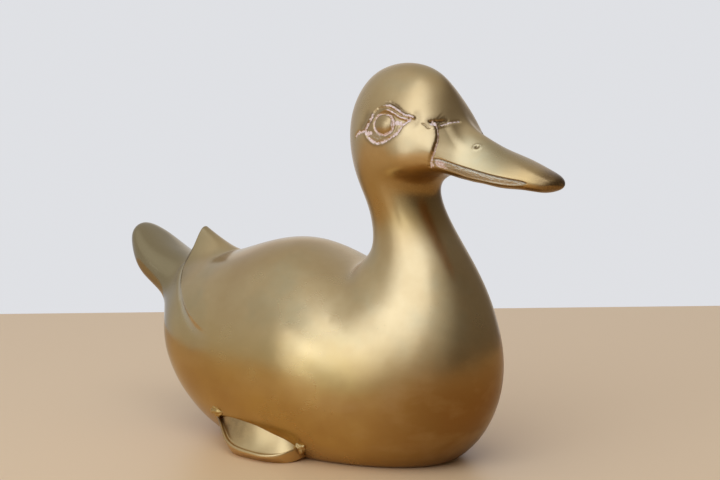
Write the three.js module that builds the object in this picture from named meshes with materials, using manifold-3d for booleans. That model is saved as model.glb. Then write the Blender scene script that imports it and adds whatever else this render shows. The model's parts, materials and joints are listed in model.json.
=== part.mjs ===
// A bronze duck, cast hollow. The head casting sits over a spigot on the body casting and is brazed
// there, two feet are pegged and brazed under the flanks, and a plate closes the belly.
// Millimetres. +X points to the bill, +Y to the duck's left, +Z up, and the table is z = 0.

import * as THREE from "three";
import { mergeVertices } from "three/addons/utils/BufferGeometryUtils.js";
import ManifoldModule from "manifold-3d";

const wasm = await ManifoldModule();
wasm.setup();

// Fits
const slipGap = 0.3; // between two pieces that fit together
const overrun = 1; // how far a cut runs past what it cuts

// Castings
const bodyWall = 4.5;
const bellyFloor = 6.5; // the body's thickness over its flat underside
const bodyCavityStart = 5.5; // the station where the body's hollow begins
const headWall = 4;
const headCavity = [18.1, 23]; // the stations between which the head is hollow
const neckSeam = 17.5; // the station where the two castings meet
const seamLedge = 4; // metal left under the seam, which carries the spigot
const spigotLength = 9;
const spigotWall = 2.5;
const socketRelief = 1.5; // how much deeper the head's socket is than the spigot is long

// Braze round the neck
const neckBrazeWidth = 3;
const neckBrazeDepth = 1.5;

// Plate under the belly
const plateX = 12;
const plateLength = 72;
const plateWidth = 38;
const plateThickness = 3;
const plateLedge = 3.5; // how far the plate rests on the body's rebate
const plateBrazeWidth = 2;
const plateBrazeDepth = 2;
const ventX = 32;
const ventDiameter = 3; // lets the air out while the plate is brazed

// Feet: each comes down the flank from its heel and sweeps forward to its toe. out is how far the
// rim stands past the flank's fullest width, rim its height, crease the height at which the hollow
// top meets the flank, and under the underside's height.
const footShape = [
  { x: -34, out: -8.5, rim: 15, crease: 17, under: 12.5 },
  { x: -30, out: -6, rim: 13.2, crease: 18.8, under: 10 },
  { x: -25.5, out: -2.8, rim: 10.3, crease: 19.7, under: 6.4 },
  { x: -20, out: 0.6, rim: 6.6, crease: 19.8, under: 1.2 },
  { x: -13, out: 2.8, rim: 4.7, crease: 19.2, under: 0 },
  { x: -5, out: 3.4, rim: 4, crease: 17.4, under: 0 },
  { x: 2, out: 3.2, rim: 3.8, crease: 14.8, under: 0 },
  { x: 8, out: 1.4, rim: 4.2, crease: 12.6, under: 0 },
  { x: 12, out: -2.2, rim: 5.4, crease: 10, under: 0.3 },
  { x: 14, out: -6.5, rim: 6.6, crease: 8, under: 1.6 },
];
const footDish = 1.7; // above 1 the top is hollow, as seen from outside
const footRound = 0.7; // rounding of the rim's edges
const footFlare = 2.6; // how much further out the rim is than the sole
const footSunk = 3; // how far the hollow top runs on under the flank before the body cuts it
const pegX = -12;
const pegHeight = 8; // where the peg enters the flank
const pegDiameter = 5;
const pegRoot = 2.6; // the peg's length inside the foot
const pegEnd = 0.6; // how far it comes through the wall

// Braze beads at the two ends of each foot
const beadLength = 7;
const beadWidth = 4.4;
const beadHeight = 5;
const beadProud = 0.4; // how far its middle stands off the flank
const toeBeadAhead = 1.5; // past the toe
const toeBeadHeight = 6.5; // above the table
const heelBeadRise = 0.6; // above the heel's crease

// Folded wings, in relief on the back between two stations: in plan their rear edge is half an ellipse
const wingFirst = 4;
const wingLast = 8;
const wingX = -10;
const wingLength = 67;
const wingHalfWidth = 44;
const wingStep = 1.3; // how far the rear edge stands up from the rump
const wingFadeLow = 50; // the step dies away between these heights
const wingFadeHigh = 62;
const wingTipX = -72.5;
const wingTipRise = 13.5;
const wingTipSlope = 17.5; // length of its front slope
const wingTipBack = 5.5; // length of its steep rear slope
const wingTipHalfWidth = 8.5;

// Cheeks: how much further out the head is than its sections, low down behind the corners of the mouth
const cheekX = 57.5;
const cheekHeight = 128;
const cheekFull = 3.8;
const cheekLength = 12;
const cheekRise = 8; // how far up the fullness dies away
const cheekDrop = 5; // and how far down
const cheekInner = 6; // from the duck's middle, where it begins
const cheekOuter = 14; // and where it is whole

// Eyes, bill seam and mouth, cut into the head. Points are [x, z] in the side view.
const eyeX = 46.8;
const eyeHeight = 145.8;
const eyeRadius = 4.6;
const eyeGroove = 1;
const billSeam = [
  [66.6, 147],
  [70.3, 139.8],
  [67.4, 129.5],
];
const billSeamGroove = 0.9;
const mouth = [
  [67.6, 130.5],
  [80, 127.6],
  [96, 124.8],
  [108.6, 124.3],
];
const mouthGroove = 1.2;

// Facets
const ringStep = 0.4; // stations between two rings of the castings
const wingRingStep = 0.2;
const ringSides = 40;
const cavityStep = 0.5;
const cavitySides = 24;
const roundSides = 24;

// The duck's form is one loft, from the tail tip along the body, up the neck and out to the bill tip.
// top and under are a section's two ends in the middle plane, [x, z], half is its half width, egg
// makes it wider under its middle, and power squares its corners. On the neck, top is the back of it.
const stations = [
  { name: "tail tip", top: [-114, 84.2], under: [-114, 84.2], half: 0, egg: 0, power: 2 },
  { name: "tail end", top: [-112.4, 89], under: [-113.4, 79.3], half: 7, egg: 0, power: 2 },
  { name: "tail blade", top: [-105.5, 86.5], under: [-108.6, 71.5], half: 12.6, egg: 0, power: 2.3 },
  { name: "tail middle", top: [-97, 81.5], under: [-101, 63.5], half: 15.6, egg: 0, power: 2.3 },
  { name: "tail root", top: [-87.5, 77.6], under: [-89.6, 56], half: 16.6, egg: 0.05, power: 2.15 },
  { name: "rump", top: [-76.5, 75.8], under: [-83.6, 44.5], half: 20, egg: 0.08, power: 2 },
  { name: "haunch", top: [-63.5, 78.5], under: [-76.6, 23.4], half: 29.5, egg: 0.1, power: 2 },
  { name: "loin", top: [-46.5, 83], under: [-56.8, 4.1], half: 38, egg: 0.12, power: 2.05 },
  { name: "rear back", top: [-28, 88.7], under: [-29, -6.5], half: 44, egg: 0.13, power: 2.1 },
  { name: "back", top: [-10, 90.4], under: [1, -10], half: 47, egg: 0.11, power: 2.1 },
  { name: "shoulder", top: [5, 86.4], under: [31.5, -9.5], half: 46.5, egg: 0.06, power: 2.1 },
  { name: "fork", top: [15.5, 83], under: [58.2, -4], half: 42.3, egg: 0.01, power: 2.05 },
  { name: "crook", top: [21.5, 83], under: [77, 10.2], half: 37.6, egg: -0.01, power: 2 },
  { name: "breast", top: [25.5, 86.5], under: [86.6, 31.5], half: 32.2, egg: -0.01, power: 2 },
  { name: "neck base", top: [29, 92], under: [86.4, 55], half: 25.2, egg: 0, power: 2 },
  { name: "low neck", top: [29.3, 99], under: [77.8, 78.5], half: 19.3, egg: 0, power: 2 },
  { name: "neck", top: [27.4, 107], under: [65.6, 97.5], half: 16.2, egg: 0, power: 2 },
  { name: "throat", top: [23.9, 116], under: [58, 110.5], half: 16.4, egg: 0, power: 2 },
  { name: "nape", top: [18.5, 129.5], under: [58, 119], half: 18.5, egg: 0, power: 2 },
  { name: "back of head", top: [18.5, 149.5], under: [64.5, 123.5], half: 21.7, egg: 0.06, power: 2 },
  { name: "rear crown", top: [29.8, 166.4], under: [70.5, 124], half: 22.3, egg: 0.16, power: 2 },
  { name: "crown", top: [49.8, 169.6], under: [74.5, 123], half: 19.6, egg: 0.25, power: 2 },
  { name: "brow", top: [64, 161.4], under: [77.5, 122.5], half: 15.2, egg: 0.47, power: 2 },
  { name: "forehead", top: [72.8, 148.1], under: [81.5, 122], half: 12.7, egg: 0.5, power: 2 },
  { name: "bill root", top: [82.8, 140.7], under: [87, 121.5], half: 11.2, egg: 0.38, power: 2.15 },
  { name: "upper bill", top: [92.5, 136.3], under: [94.5, 120.5], half: 10.3, egg: 0.24, power: 2.3 },
  { name: "bill", top: [102, 133.2], under: [103.5, 120.5], half: 9.6, egg: 0.17, power: 2.4 },
  { name: "bill blade", top: [111, 129.6], under: [112, 120], half: 8.4, egg: 0.12, power: 2.3 },
  { name: "bill front", top: [116.4, 127.3], under: [116.6, 120.8], half: 6.3, egg: 0.08, power: 2.1 },
  { name: "bill end", top: [118.8, 125.2], under: [118.9, 122], half: 3, egg: 0, power: 2 },
  { name: "bill tip", top: [119.2, 123.5], under: [119.2, 123.5], half: 0, egg: 0, power: 2 },
];
const lastStation = stations.length - 1;

// A natural cubic spline through values that lie one step apart.
function splineThrough(values) {
  const last = values.length - 1;
  const share = new Array(last + 1).fill(0);
  const bend = new Array(last + 1).fill(0);
  for (let i = 1; i < last; i++) {
    const pivot = 4 - share[i - 1];
    share[i] = 1 / pivot;
    bend[i] = (6 * (values[i + 1] - 2 * values[i] + values[i - 1]) - bend[i - 1]) / pivot;
  }
  for (let i = last - 1; i > 0; i--) {
    bend[i] -= share[i] * bend[i + 1];
  }
  return (at) => {
    const i = Math.min(Math.max(Math.floor(at), 0), last - 1);
    const b = at - i;
    const a = 1 - b;
    const curve = (a ** 3 - a) * bend[i] + (b ** 3 - b) * bend[i + 1];
    return a * values[i] + b * values[i + 1] + curve / 6;
  };
}

// One spline for each measure of a section. A mirrored section past each tip rounds the tip.
function measureSpline(measure, sign) {
  const values = stations.map(measure);
  return splineThrough([sign * values[1], ...values, sign * values[lastStation - 1]]);
}

const centreX = measureSpline((s) => (s.top[0] + s.under[0]) / 2, 1);
const centreZ = measureSpline((s) => (s.top[1] + s.under[1]) / 2, 1);
const reachX = measureSpline((s) => (s.top[0] - s.under[0]) / 2, -1);
const reachZ = measureSpline((s) => (s.top[1] - s.under[1]) / 2, -1);
const halfWidth = measureSpline((s) => s.half, -1);
const eggShape = measureSpline((s) => s.egg, 1);
const cornerPower = measureSpline((s) => s.power, 1);

// A section at a place on the loft, drawn in by inset on every side.
function sectionAt(station, inset = 0) {
  const at = station + 1;
  const tall = Math.hypot(reachX(at), reachZ(at));
  const keep = tall > inset ? (tall - inset) / tall : 0;
  return {
    x: centreX(at),
    z: centreZ(at),
    upX: reachX(at) * keep,
    upZ: reachZ(at) * keep,
    half: Math.max(halfWidth(at) - inset, 0),
    egg: eggShape(at),
    power: cornerPower(at),
  };
}

// How far the cheek stands out there.
function cheekAt(x, y, z) {
  const tall = z > cheekHeight ? cheekRise : cheekDrop;
  const full = Math.exp(-(((x - cheekX) / cheekLength) ** 2) - ((z - cheekHeight) / tall) ** 2);
  return cheekFull * full * THREE.MathUtils.smoothstep(Math.abs(y), cheekInner, cheekOuter);
}

function ringAt(station, sides, inset = 0) {
  const s = sectionAt(station, inset);
  const points = [];
  for (let i = 0; i < sides; i++) {
    const angle = (2 * Math.PI * i) / sides;
    const across = Math.cos(angle);
    const up = Math.sin(angle);
    const size = (Math.abs(across) ** s.power + Math.abs(up) ** s.power) ** (-1 / s.power);
    const x = s.x + s.upX * size * up;
    const y = s.half * size * across * (1 - s.egg * up);
    const z = s.z + s.upZ * size * up;
    points.push(new THREE.Vector3(x, y + Math.sign(y) * cheekAt(x, y, z), z));
  }
  return points;
}

// The unit step along the loft, square to a section.
function alongAt(station) {
  const s = sectionAt(station);
  return new THREE.Vector3(s.upZ, 0, -s.upX).normalize();
}

// The station that lies a distance in millimetres further along the middle of the loft.
function stationPast(station, distance) {
  const nudge = 0.05;
  const here = sectionAt(station - nudge);
  const ahead = sectionAt(station + nudge);
  return station + (distance * 2 * nudge) / Math.hypot(ahead.x - here.x, ahead.z - here.z);
}

// A closed skin over rings of points, with a flat fan at each end.
function skinOver(rings) {
  const sides = rings[0].length;
  const vertices = [];
  const faces = [];
  for (const ring of rings) {
    for (const point of ring) {
      vertices.push(point.x, point.y, point.z);
    }
  }
  for (let i = 0; i < rings.length - 1; i++) {
    for (let j = 0; j < sides; j++) {
      const here = i * sides + j;
      const next = i * sides + ((j + 1) % sides);
      faces.push(here, next, next + sides, here, next + sides, here + sides);
    }
  }
  for (const [ring, first, reversed] of [
    [rings[0], 0, true],
    [rings.at(-1), (rings.length - 1) * sides, false],
  ]) {
    const middle = ring.reduce((sum, point) => sum.add(point), new THREE.Vector3()).divideScalar(sides);
    const hub = vertices.length / 3;
    vertices.push(middle.x, middle.y, middle.z);
    for (let j = 0; j < sides; j++) {
      const a = first + j;
      const b = first + ((j + 1) % sides);
      faces.push(hub, reversed ? b : a, reversed ? a : b);
    }
  }
  const geometry = new THREE.BufferGeometry();
  geometry.setAttribute("position", new THREE.Float32BufferAttribute(vertices, 3));
  geometry.setIndex(faces);
  return geometry;
}

// Evenly spaced places from one station to another, with closer ones where the loft ends in a tip.
function places(from, to, step) {
  const count = Math.max(Math.round((to - from) / step), 1);
  const list = [];
  for (let i = 0; i <= count; i++) {
    list.push(from + ((to - from) * i) / count);
  }
  const tipSteps = [0.02, 0.1, 0.22];
  if (from === 0) {
    list.splice(0, 1, ...tipSteps);
  }
  if (to === lastStation) {
    list.splice(-1, 1, ...tipSteps.map((tip) => lastStation - tip).reverse());
  }
  return list;
}

function loft(from, to, { step = ringStep, sides = ringSides, inset = 0 } = {}) {
  return skinOver(places(from, to, step).map((at) => ringAt(at, sides, inset)));
}

// The seam's section, drawn in by inset and pulled straight along the neck.
function neckPrism(inset, from, to) {
  const along = alongAt(neckSeam);
  const ring = ringAt(neckSeam, cavitySides, inset);
  return skinOver([from, to].map((shift) => ring.map((p) => p.clone().addScaledVector(along, shift))));
}

// Solids for the joins and cuts

// The geometry with positions alone, each shared by the faces that meet there.
function merge(geometry) {
  const bare = geometry.clone();
  bare.deleteAttribute("normal");
  bare.deleteAttribute("uv");
  return mergeVertices(bare, 1e-4);
}

function solid(geometry) {
  const merged = merge(geometry);
  return new wasm.Manifold(
    new wasm.Mesh({
      numProp: 3,
      vertProperties: Float32Array.from(merged.attributes.position.array),
      triVerts: Uint32Array.from(merged.index.array),
    }),
  );
}

function geometryOf(body) {
  const mesh = body.getMesh();
  const geometry = new THREE.BufferGeometry();
  geometry.setAttribute("position", new THREE.Float32BufferAttribute(mesh.vertProperties, 3));
  geometry.setIndex(Array.from(mesh.triVerts));
  return geometry;
}

function mirrored(geometry) {
  const copy = merge(geometry);
  copy.scale(1, -1, 1);
  const index = Array.from(copy.index.array);
  for (let i = 0; i < index.length; i += 3) {
    [index[i + 1], index[i + 2]] = [index[i + 2], index[i + 1]];
  }
  copy.setIndex(index);
  return copy;
}

// Everything below a height
function allBelow(height) {
  const far = 400;
  const geometry = new THREE.BoxGeometry(2 * far, 2 * far, far);
  geometry.translate(0, 0, height - far / 2);
  return solid(geometry);
}

const underTable = allBelow(0);

// Places on the duck's side, by their x and z in the side view

const bodyRun = [wingFirst, neckSeam];
const headRun = [neckSeam, lastStation - 1];

function stationOver(x, z, run) {
  const ahead = (station) => {
    const s = sectionAt(station);
    return (x - s.x) * s.upZ - (z - s.z) * s.upX;
  };
  let [low, high] = run;
  for (let i = 0; i < 40; i++) {
    const middle = (low + high) / 2;
    if (ahead(middle) > 0) {
      low = middle;
    } else {
      high = middle;
    }
  }
  return low;
}

// How far the form reaches sideways there.
function reachAt(x, z, run = bodyRun) {
  const s = sectionAt(stationOver(x, z, run));
  const up = ((x - s.x) * s.upX + (z - s.z) * s.upZ) / (s.upX ** 2 + s.upZ ** 2);
  const across = Math.max(1 - Math.abs(up) ** s.power, 0) ** (1 / s.power);
  const y = s.half * across * (1 - (s.egg * up) / Math.hypot(up, across));
  return y + cheekAt(x, y, z);
}

// The unit step out of the duck's left side.
function outOfSide(x, z, run = bodyRun) {
  const nudge = 0.5;
  const slopeX = (reachAt(x + nudge, z, run) - reachAt(x - nudge, z, run)) / (2 * nudge);
  const slopeZ = (reachAt(x, z + nudge, run) - reachAt(x, z - nudge, run)) / (2 * nudge);
  return new THREE.Vector3(-slopeX, 1, -slopeZ).normalize();
}

// The space inside a wall, between two stations
function hollow(from, to, wall) {
  return solid(loft(from, to, { step: cavityStep, sides: cavitySides, inset: wall }));
}

// Folded wings: the back's own surface, lifted near the rear edge and cut off there

const smooth = THREE.MathUtils.smoothstep;

// The body's places, closer together under the wings, so that both have the same facets there.
const bodyPlaces = [
  ...places(0, wingFirst, ringStep),
  ...places(wingFirst, wingLast, wingRingStep).slice(1),
  ...places(wingLast, neckSeam, ringStep).slice(1),
];

// How far the wing stands out at a point of the body's skin. Where it doesn't, it lies a little under.
function wingLift(point) {
  const rearward = Math.hypot((point.x - wingX) / wingLength, point.y / wingHalfWidth);
  const behind = (wingX - point.x) / wingLength;
  const nearEdge = smooth(rearward, 0.6, 0.95) * smooth(behind, 0.25, 0.55);
  const fade = nearEdge * smooth(point.z, wingFadeLow, wingFadeHigh);
  const frontSlope = THREE.MathUtils.clamp((wingTipX + wingTipSlope - point.x) / wingTipSlope, 0, 1);
  const rearSlope = THREE.MathUtils.clamp((point.x - wingTipX + wingTipBack) / wingTipBack, 0, 1);
  const narrow = Math.exp(-((point.y / wingTipHalfWidth) ** 2));
  const sunk = wingStep * 0.8;
  return {
    step: (wingStep + sunk) * fade - sunk,
    tip: point.z > wingFadeHigh ? wingTipRise * frontSlope * rearSlope * narrow : 0,
  };
}

function wings() {
  const rings = places(wingFirst, wingLast, wingRingStep).map((at) => {
    const s = sectionAt(at);
    const middle = new THREE.Vector3(s.x, 0, s.z);
    return ringAt(at, ringSides).map((point) => {
      const lift = wingLift(point);
      const out = point.clone().sub(middle).normalize();
      point.addScaledVector(out, lift.step);
      point.z += lift.tip;
      return point;
    });
  });
  const plan = new THREE.CylinderGeometry(1, 1, 1, 2 * roundSides);
  plan.rotateX(Math.PI / 2);
  plan.scale(wingLength, wingHalfWidth, 200);
  plan.translate(wingX, 0, wingFadeLow + 90);
  return solid(skinOver(rings)).intersect(solid(plan));
}

// Plate under the belly, its ring of braze, and the rebate that takes them

function oval(halfLength, halfWidth, low, high, hole) {
  const shape = new THREE.Shape().absellipse(plateX, 0, halfLength, halfWidth, 0, 2 * Math.PI);
  if (hole) {
    shape.holes.push(hole);
  }
  const geometry = new THREE.ExtrudeGeometry(shape, {
    depth: high - low,
    bevelEnabled: false,
    curveSegments: roundSides,
  });
  geometry.translate(0, 0, low);
  return geometry;
}

const ovalPath = (grow) =>
  new THREE.Path().absellipse(plateX, 0, plateLength / 2 + grow, plateWidth / 2 + grow, 0, 2 * Math.PI);
const brazeGrow = slipGap + plateBrazeWidth;

function bellyPlate() {
  const vent = new THREE.Path().absarc(ventX, 0, ventDiameter / 2, 0, 2 * Math.PI);
  return oval(plateLength / 2, plateWidth / 2, 0, plateThickness, vent);
}

function bellyBraze() {
  return oval(plateLength / 2 + brazeGrow, plateWidth / 2 + brazeGrow, 0, plateBrazeDepth, ovalPath(slipGap));
}

function bellyOpening() {
  const grow = brazeGrow + slipGap;
  const rebate = oval(plateLength / 2 + grow, plateWidth / 2 + grow, -overrun, plateThickness + slipGap);
  const halfLength = plateLength / 2 - plateLedge;
  const halfWidth = plateWidth / 2 - plateLedge;
  const way = oval(halfLength, halfWidth, -overrun, bellyFloor + overrun);
  return solid(rebate).add(solid(way));
}

// Feet

const flank = reachAt(pegX, 40);
const heel = footShape[0];
const toe = footShape.at(-1);

const footSplines = ["x", "out", "rim", "crease", "under"].map((key) =>
  splineThrough(footShape.map((place) => place[key])),
);

// A ring round the foot at one place along it: up the rim, over the hollow top and back underneath.
function footRing(at, grow) {
  const [x, out, rim, crease, under] = footSplines.map((spline) => spline(at));
  const outer = flank + out + grow;
  const low = under - grow;
  const high = rim + grow;
  const inner = reachAt(x, crease) - footSunk;
  const ring = [
    [flank / 2, low],
    [outer - footFlare - footRound, low],
    [outer - footFlare, low + footRound],
    [outer, high - footRound],
  ];
  const steps = 5;
  for (let i = 0; i <= steps; i++) {
    const share = i / steps;
    const y = THREE.MathUtils.lerp(outer - footRound, inner, share);
    ring.push([y, high + (crease - rim) * share ** footDish]);
  }
  ring.push([flank / 2, crease + grow]);
  return ring.map(([y, z]) => new THREE.Vector3(x, y, z));
}

function footForm(grow = 0) {
  const rings = [];
  const step = 0.5;
  for (let at = 0; at <= footShape.length - 1; at += step) {
    rings.push(footRing(at, grow));
  }
  return skinOver(rings);
}

function peg(radius, rootLength, endLength) {
  const out = outOfSide(pegX, pegHeight);
  const entry = new THREE.Vector3(pegX, reachAt(pegX, pegHeight), pegHeight);
  const length = rootLength + bodyWall + endLength;
  const geometry = new THREE.CylinderGeometry(radius, radius, length, 16);
  geometry.applyQuaternion(new THREE.Quaternion().setFromUnitVectors(new THREE.Vector3(0, 1, 0), out));
  const middle = entry.addScaledVector(out, rootLength - length / 2);
  geometry.translate(middle.x, middle.y, middle.z);
  return geometry;
}

// The body's outer form, grown by the gap, which cuts the pieces that sit against it
const neckBase = stations.findIndex((station) => station.name === "neck base");
const grownBody = solid(loft(wingFirst, neckBase, { inset: -slipGap }));

function leftFoot() {
  const pad = solid(footForm()).subtract(grownBody).subtract(underTable);
  return geometryOf(pad.add(solid(peg(pegDiameter / 2, pegRoot, pegEnd))));
}

function bead(x, z) {
  const blob = new THREE.SphereGeometry(0.5, 12, 8);
  blob.scale(beadLength, beadWidth, beadHeight);
  blob.translate(x, reachAt(x, z) + beadProud, z);
  const grownFoot = solid(footForm(slipGap));
  return geometryOf(solid(blob).subtract(grownBody).subtract(grownFoot).subtract(underTable));
}

// Castings

const seamLow = stationPast(neckSeam, -neckBrazeWidth / 2);
const seamHigh = stationPast(neckSeam, neckBrazeWidth / 2);
const spigotInset = headWall + slipGap;
const boreInset = spigotInset + spigotWall;

// A band round the neck over the seam, from one depth under the surface to another.
function neckBand(grow, outerInset, innerInset) {
  const low = stationPast(seamLow, -grow);
  const high = stationPast(seamHigh, grow);
  const outside = solid(loft(low, high, { inset: outerInset }));
  const coreEnds = [stationPast(low, -overrun), stationPast(high, overrun)];
  const core = solid(loft(...coreEnds, { inset: innerInset }));
  return outside.subtract(core);
}

const neckBraze = () => geometryOf(neckBand(0, 0, neckBrazeDepth));
const neckGroove = () => neckBand(slipGap, -overrun, neckBrazeDepth + slipGap);

function bodyCasting() {
  const skin = skinOver(bodyPlaces.map((at) => ringAt(at, ringSides)));
  const form = solid(skin).add(wings()).subtract(underTable);
  const spigot = solid(neckPrism(spigotInset, -seamLedge / 2, spigotLength));
  const cavityEnd = stationPast(neckSeam, -seamLedge);
  const cavity = hollow(bodyCavityStart, cavityEnd, bodyWall).subtract(allBelow(bellyFloor));
  const bore = solid(neckPrism(boreInset, -seamLedge - overrun, spigotLength + overrun));
  const pegHole = peg(pegDiameter / 2 + slipGap, pegRoot, pegEnd + 2 * overrun);
  return geometryOf(
    form
      .subtract(neckGroove())
      .add(spigot)
      .subtract(cavity)
      .subtract(bore)
      .subtract(bellyOpening())
      .subtract(solid(pegHole))
      .subtract(solid(mirrored(pegHole))),
  );
}

// A ring cut round each eyeball, and a channel along points in the side view
function eyeCut() {
  const ring = new THREE.TorusGeometry(eyeRadius, eyeGroove, 5, 18);
  const out = outOfSide(eyeX, eyeHeight, headRun);
  ring.applyQuaternion(new THREE.Quaternion().setFromUnitVectors(new THREE.Vector3(0, 0, 1), out));
  ring.translate(eyeX, reachAt(eyeX, eyeHeight, headRun), eyeHeight);
  return ring;
}

function channel(points, radius) {
  const onSide = points.map(([x, z]) => new THREE.Vector3(x, reachAt(x, z, headRun), z));
  const round = new THREE.Shape().absarc(0, 0, radius, 0, 2 * Math.PI);
  return new THREE.ExtrudeGeometry(round, {
    steps: 9,
    curveSegments: 3,
    extrudePath: new THREE.CatmullRomCurve3(onSide),
  });
}

function headCasting() {
  const form = solid(loft(stationPast(neckSeam, slipGap), lastStation));
  const socket = solid(neckPrism(headWall, -overrun, spigotLength + socketRelief));
  const cavity = hollow(...headCavity, headWall);
  let head = form.subtract(neckGroove()).subtract(socket).subtract(cavity);
  for (const cut of [eyeCut(), channel(billSeam, billSeamGroove), channel(mouth, mouthGroove)]) {
    head = head.subtract(solid(cut)).subtract(solid(mirrored(cut)));
  }
  return geometryOf(head);
}

// Materials

const castBronze = { color: 0xa98a50, roughness: 0.32, metalness: 1 };
const paleBronze = { color: 0xbc9c5c, roughness: 0.38, metalness: 1 };
const brazeMetal = { color: 0x9a8c62, roughness: 0.6, metalness: 1 };
const plateBrass = { color: 0x9c7c44, roughness: 0.5, metalness: 1 };

function piece(name, geometry, look) {
  const mesh = new THREE.Mesh(geometry, new THREE.MeshStandardMaterial(look));
  mesh.name = name;
  return mesh;
}

// The whole duck

const duck = new THREE.Group();
duck.name = "duck";
duck.add(piece("body_casting", bodyCasting(), castBronze));
duck.add(piece("head_casting", headCasting(), castBronze));
duck.add(piece("neck_braze", neckBraze(), brazeMetal));
duck.add(piece("belly_plate", bellyPlate(), plateBrass));
duck.add(piece("belly_braze", bellyBraze(), brazeMetal));

const footPieces = {
  foot: [leftFoot(), paleBronze],
  toe_braze: [bead(toe.x + toeBeadAhead, toeBeadHeight), brazeMetal],
  heel_braze: [bead(heel.x, heel.crease + heelBeadRise), brazeMetal],
};
for (const [name, [geometry, look]] of Object.entries(footPieces)) {
  duck.add(piece(`left_${name}`, geometry, look));
  duck.add(piece(`right_${name}`, mirrored(geometry), look));
}

export default duck;
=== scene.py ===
# %% [markdown]
# # A bronze duck, built up in Blender
#
# The real object is a small duck in yellow bronze, cast hollow in two pieces,
# brazed together, filed, and rubbed to a satin polish. Almost everything that
# makes it look real is in its surface: long calm curves, a few cut lines, and
# metal that mirrors the room softly. So this lesson spends its effort on one
# very fine skin and one good metal.

import json
import math

import bpy
import numpy as np
from mathutils import Matrix, Quaternion, Vector, noise

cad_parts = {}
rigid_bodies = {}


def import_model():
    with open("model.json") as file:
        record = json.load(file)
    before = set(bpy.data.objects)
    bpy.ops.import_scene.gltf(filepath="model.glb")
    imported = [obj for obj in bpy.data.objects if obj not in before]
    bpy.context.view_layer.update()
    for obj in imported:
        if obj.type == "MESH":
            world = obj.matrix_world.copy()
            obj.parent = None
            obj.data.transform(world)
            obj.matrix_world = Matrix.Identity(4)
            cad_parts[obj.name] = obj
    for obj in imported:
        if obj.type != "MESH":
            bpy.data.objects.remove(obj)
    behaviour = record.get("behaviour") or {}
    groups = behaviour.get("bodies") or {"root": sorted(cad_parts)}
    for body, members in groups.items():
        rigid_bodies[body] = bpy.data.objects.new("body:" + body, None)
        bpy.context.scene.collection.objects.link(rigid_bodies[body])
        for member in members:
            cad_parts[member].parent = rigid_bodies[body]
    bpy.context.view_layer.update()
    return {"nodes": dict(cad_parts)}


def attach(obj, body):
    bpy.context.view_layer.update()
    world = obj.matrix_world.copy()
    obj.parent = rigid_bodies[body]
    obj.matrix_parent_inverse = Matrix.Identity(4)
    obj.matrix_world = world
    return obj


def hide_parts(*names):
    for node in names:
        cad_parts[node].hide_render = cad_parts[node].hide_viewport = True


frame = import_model()
mm = 0.001
print("pieces in the frame:", ", ".join(sorted(frame["nodes"])))

# %% [markdown]
# ## The camera
#
# The camera comes first. It could be placed by eye, but the photograph gives
# enough to work it out: the duck is seen from its front right, a little from
# above, from about three quarters of a metre, with a lens that shows little more
# than the duck.

# %% Place the camera
camera_azimuth = math.radians(37)
camera_elevation = math.radians(8.5)
camera_distance = 0.776
look_at = Vector((0.018, 0, 0.0922))
camera_back = Vector((
    math.sin(camera_azimuth) * math.cos(camera_elevation),
    -math.cos(camera_azimuth) * math.cos(camera_elevation),
    math.sin(camera_elevation),
))


def add_object(name, data):
    """Puts a mesh, a lamp or a camera into the scene."""
    thing = bpy.data.objects.new(name, data)
    bpy.context.scene.collection.objects.link(thing)
    return thing


camera = add_object("camera", bpy.data.cameras.new("camera"))
camera.data.sensor_width = 36
camera.data.lens = 88.8
camera.location = look_at + camera_distance * camera_back
camera.rotation_mode = "QUATERNION"
camera.rotation_quaternion = (-camera_back).to_track_quat("-Z", "Y")
bpy.context.scene.camera = camera
print("camera at", [round(v, 3) for v in camera.location])

# %% [markdown]
# ## The duck's form
#
# A sculptor sees the whole bird as one S that runs from the tail, along the
# body, up the neck and out to the tip of the bill. A box pushed about with
# subdivision could give that too, but the same S is what the casting was
# measured by, so it is written down here as cross sections. Each has a top and
# an underside in the middle plane, a half width, an egg shape that makes it
# fuller below, and a power that squares it a little. Up the neck, top is the
# back of it. All sizes are in millimetres.

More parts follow.
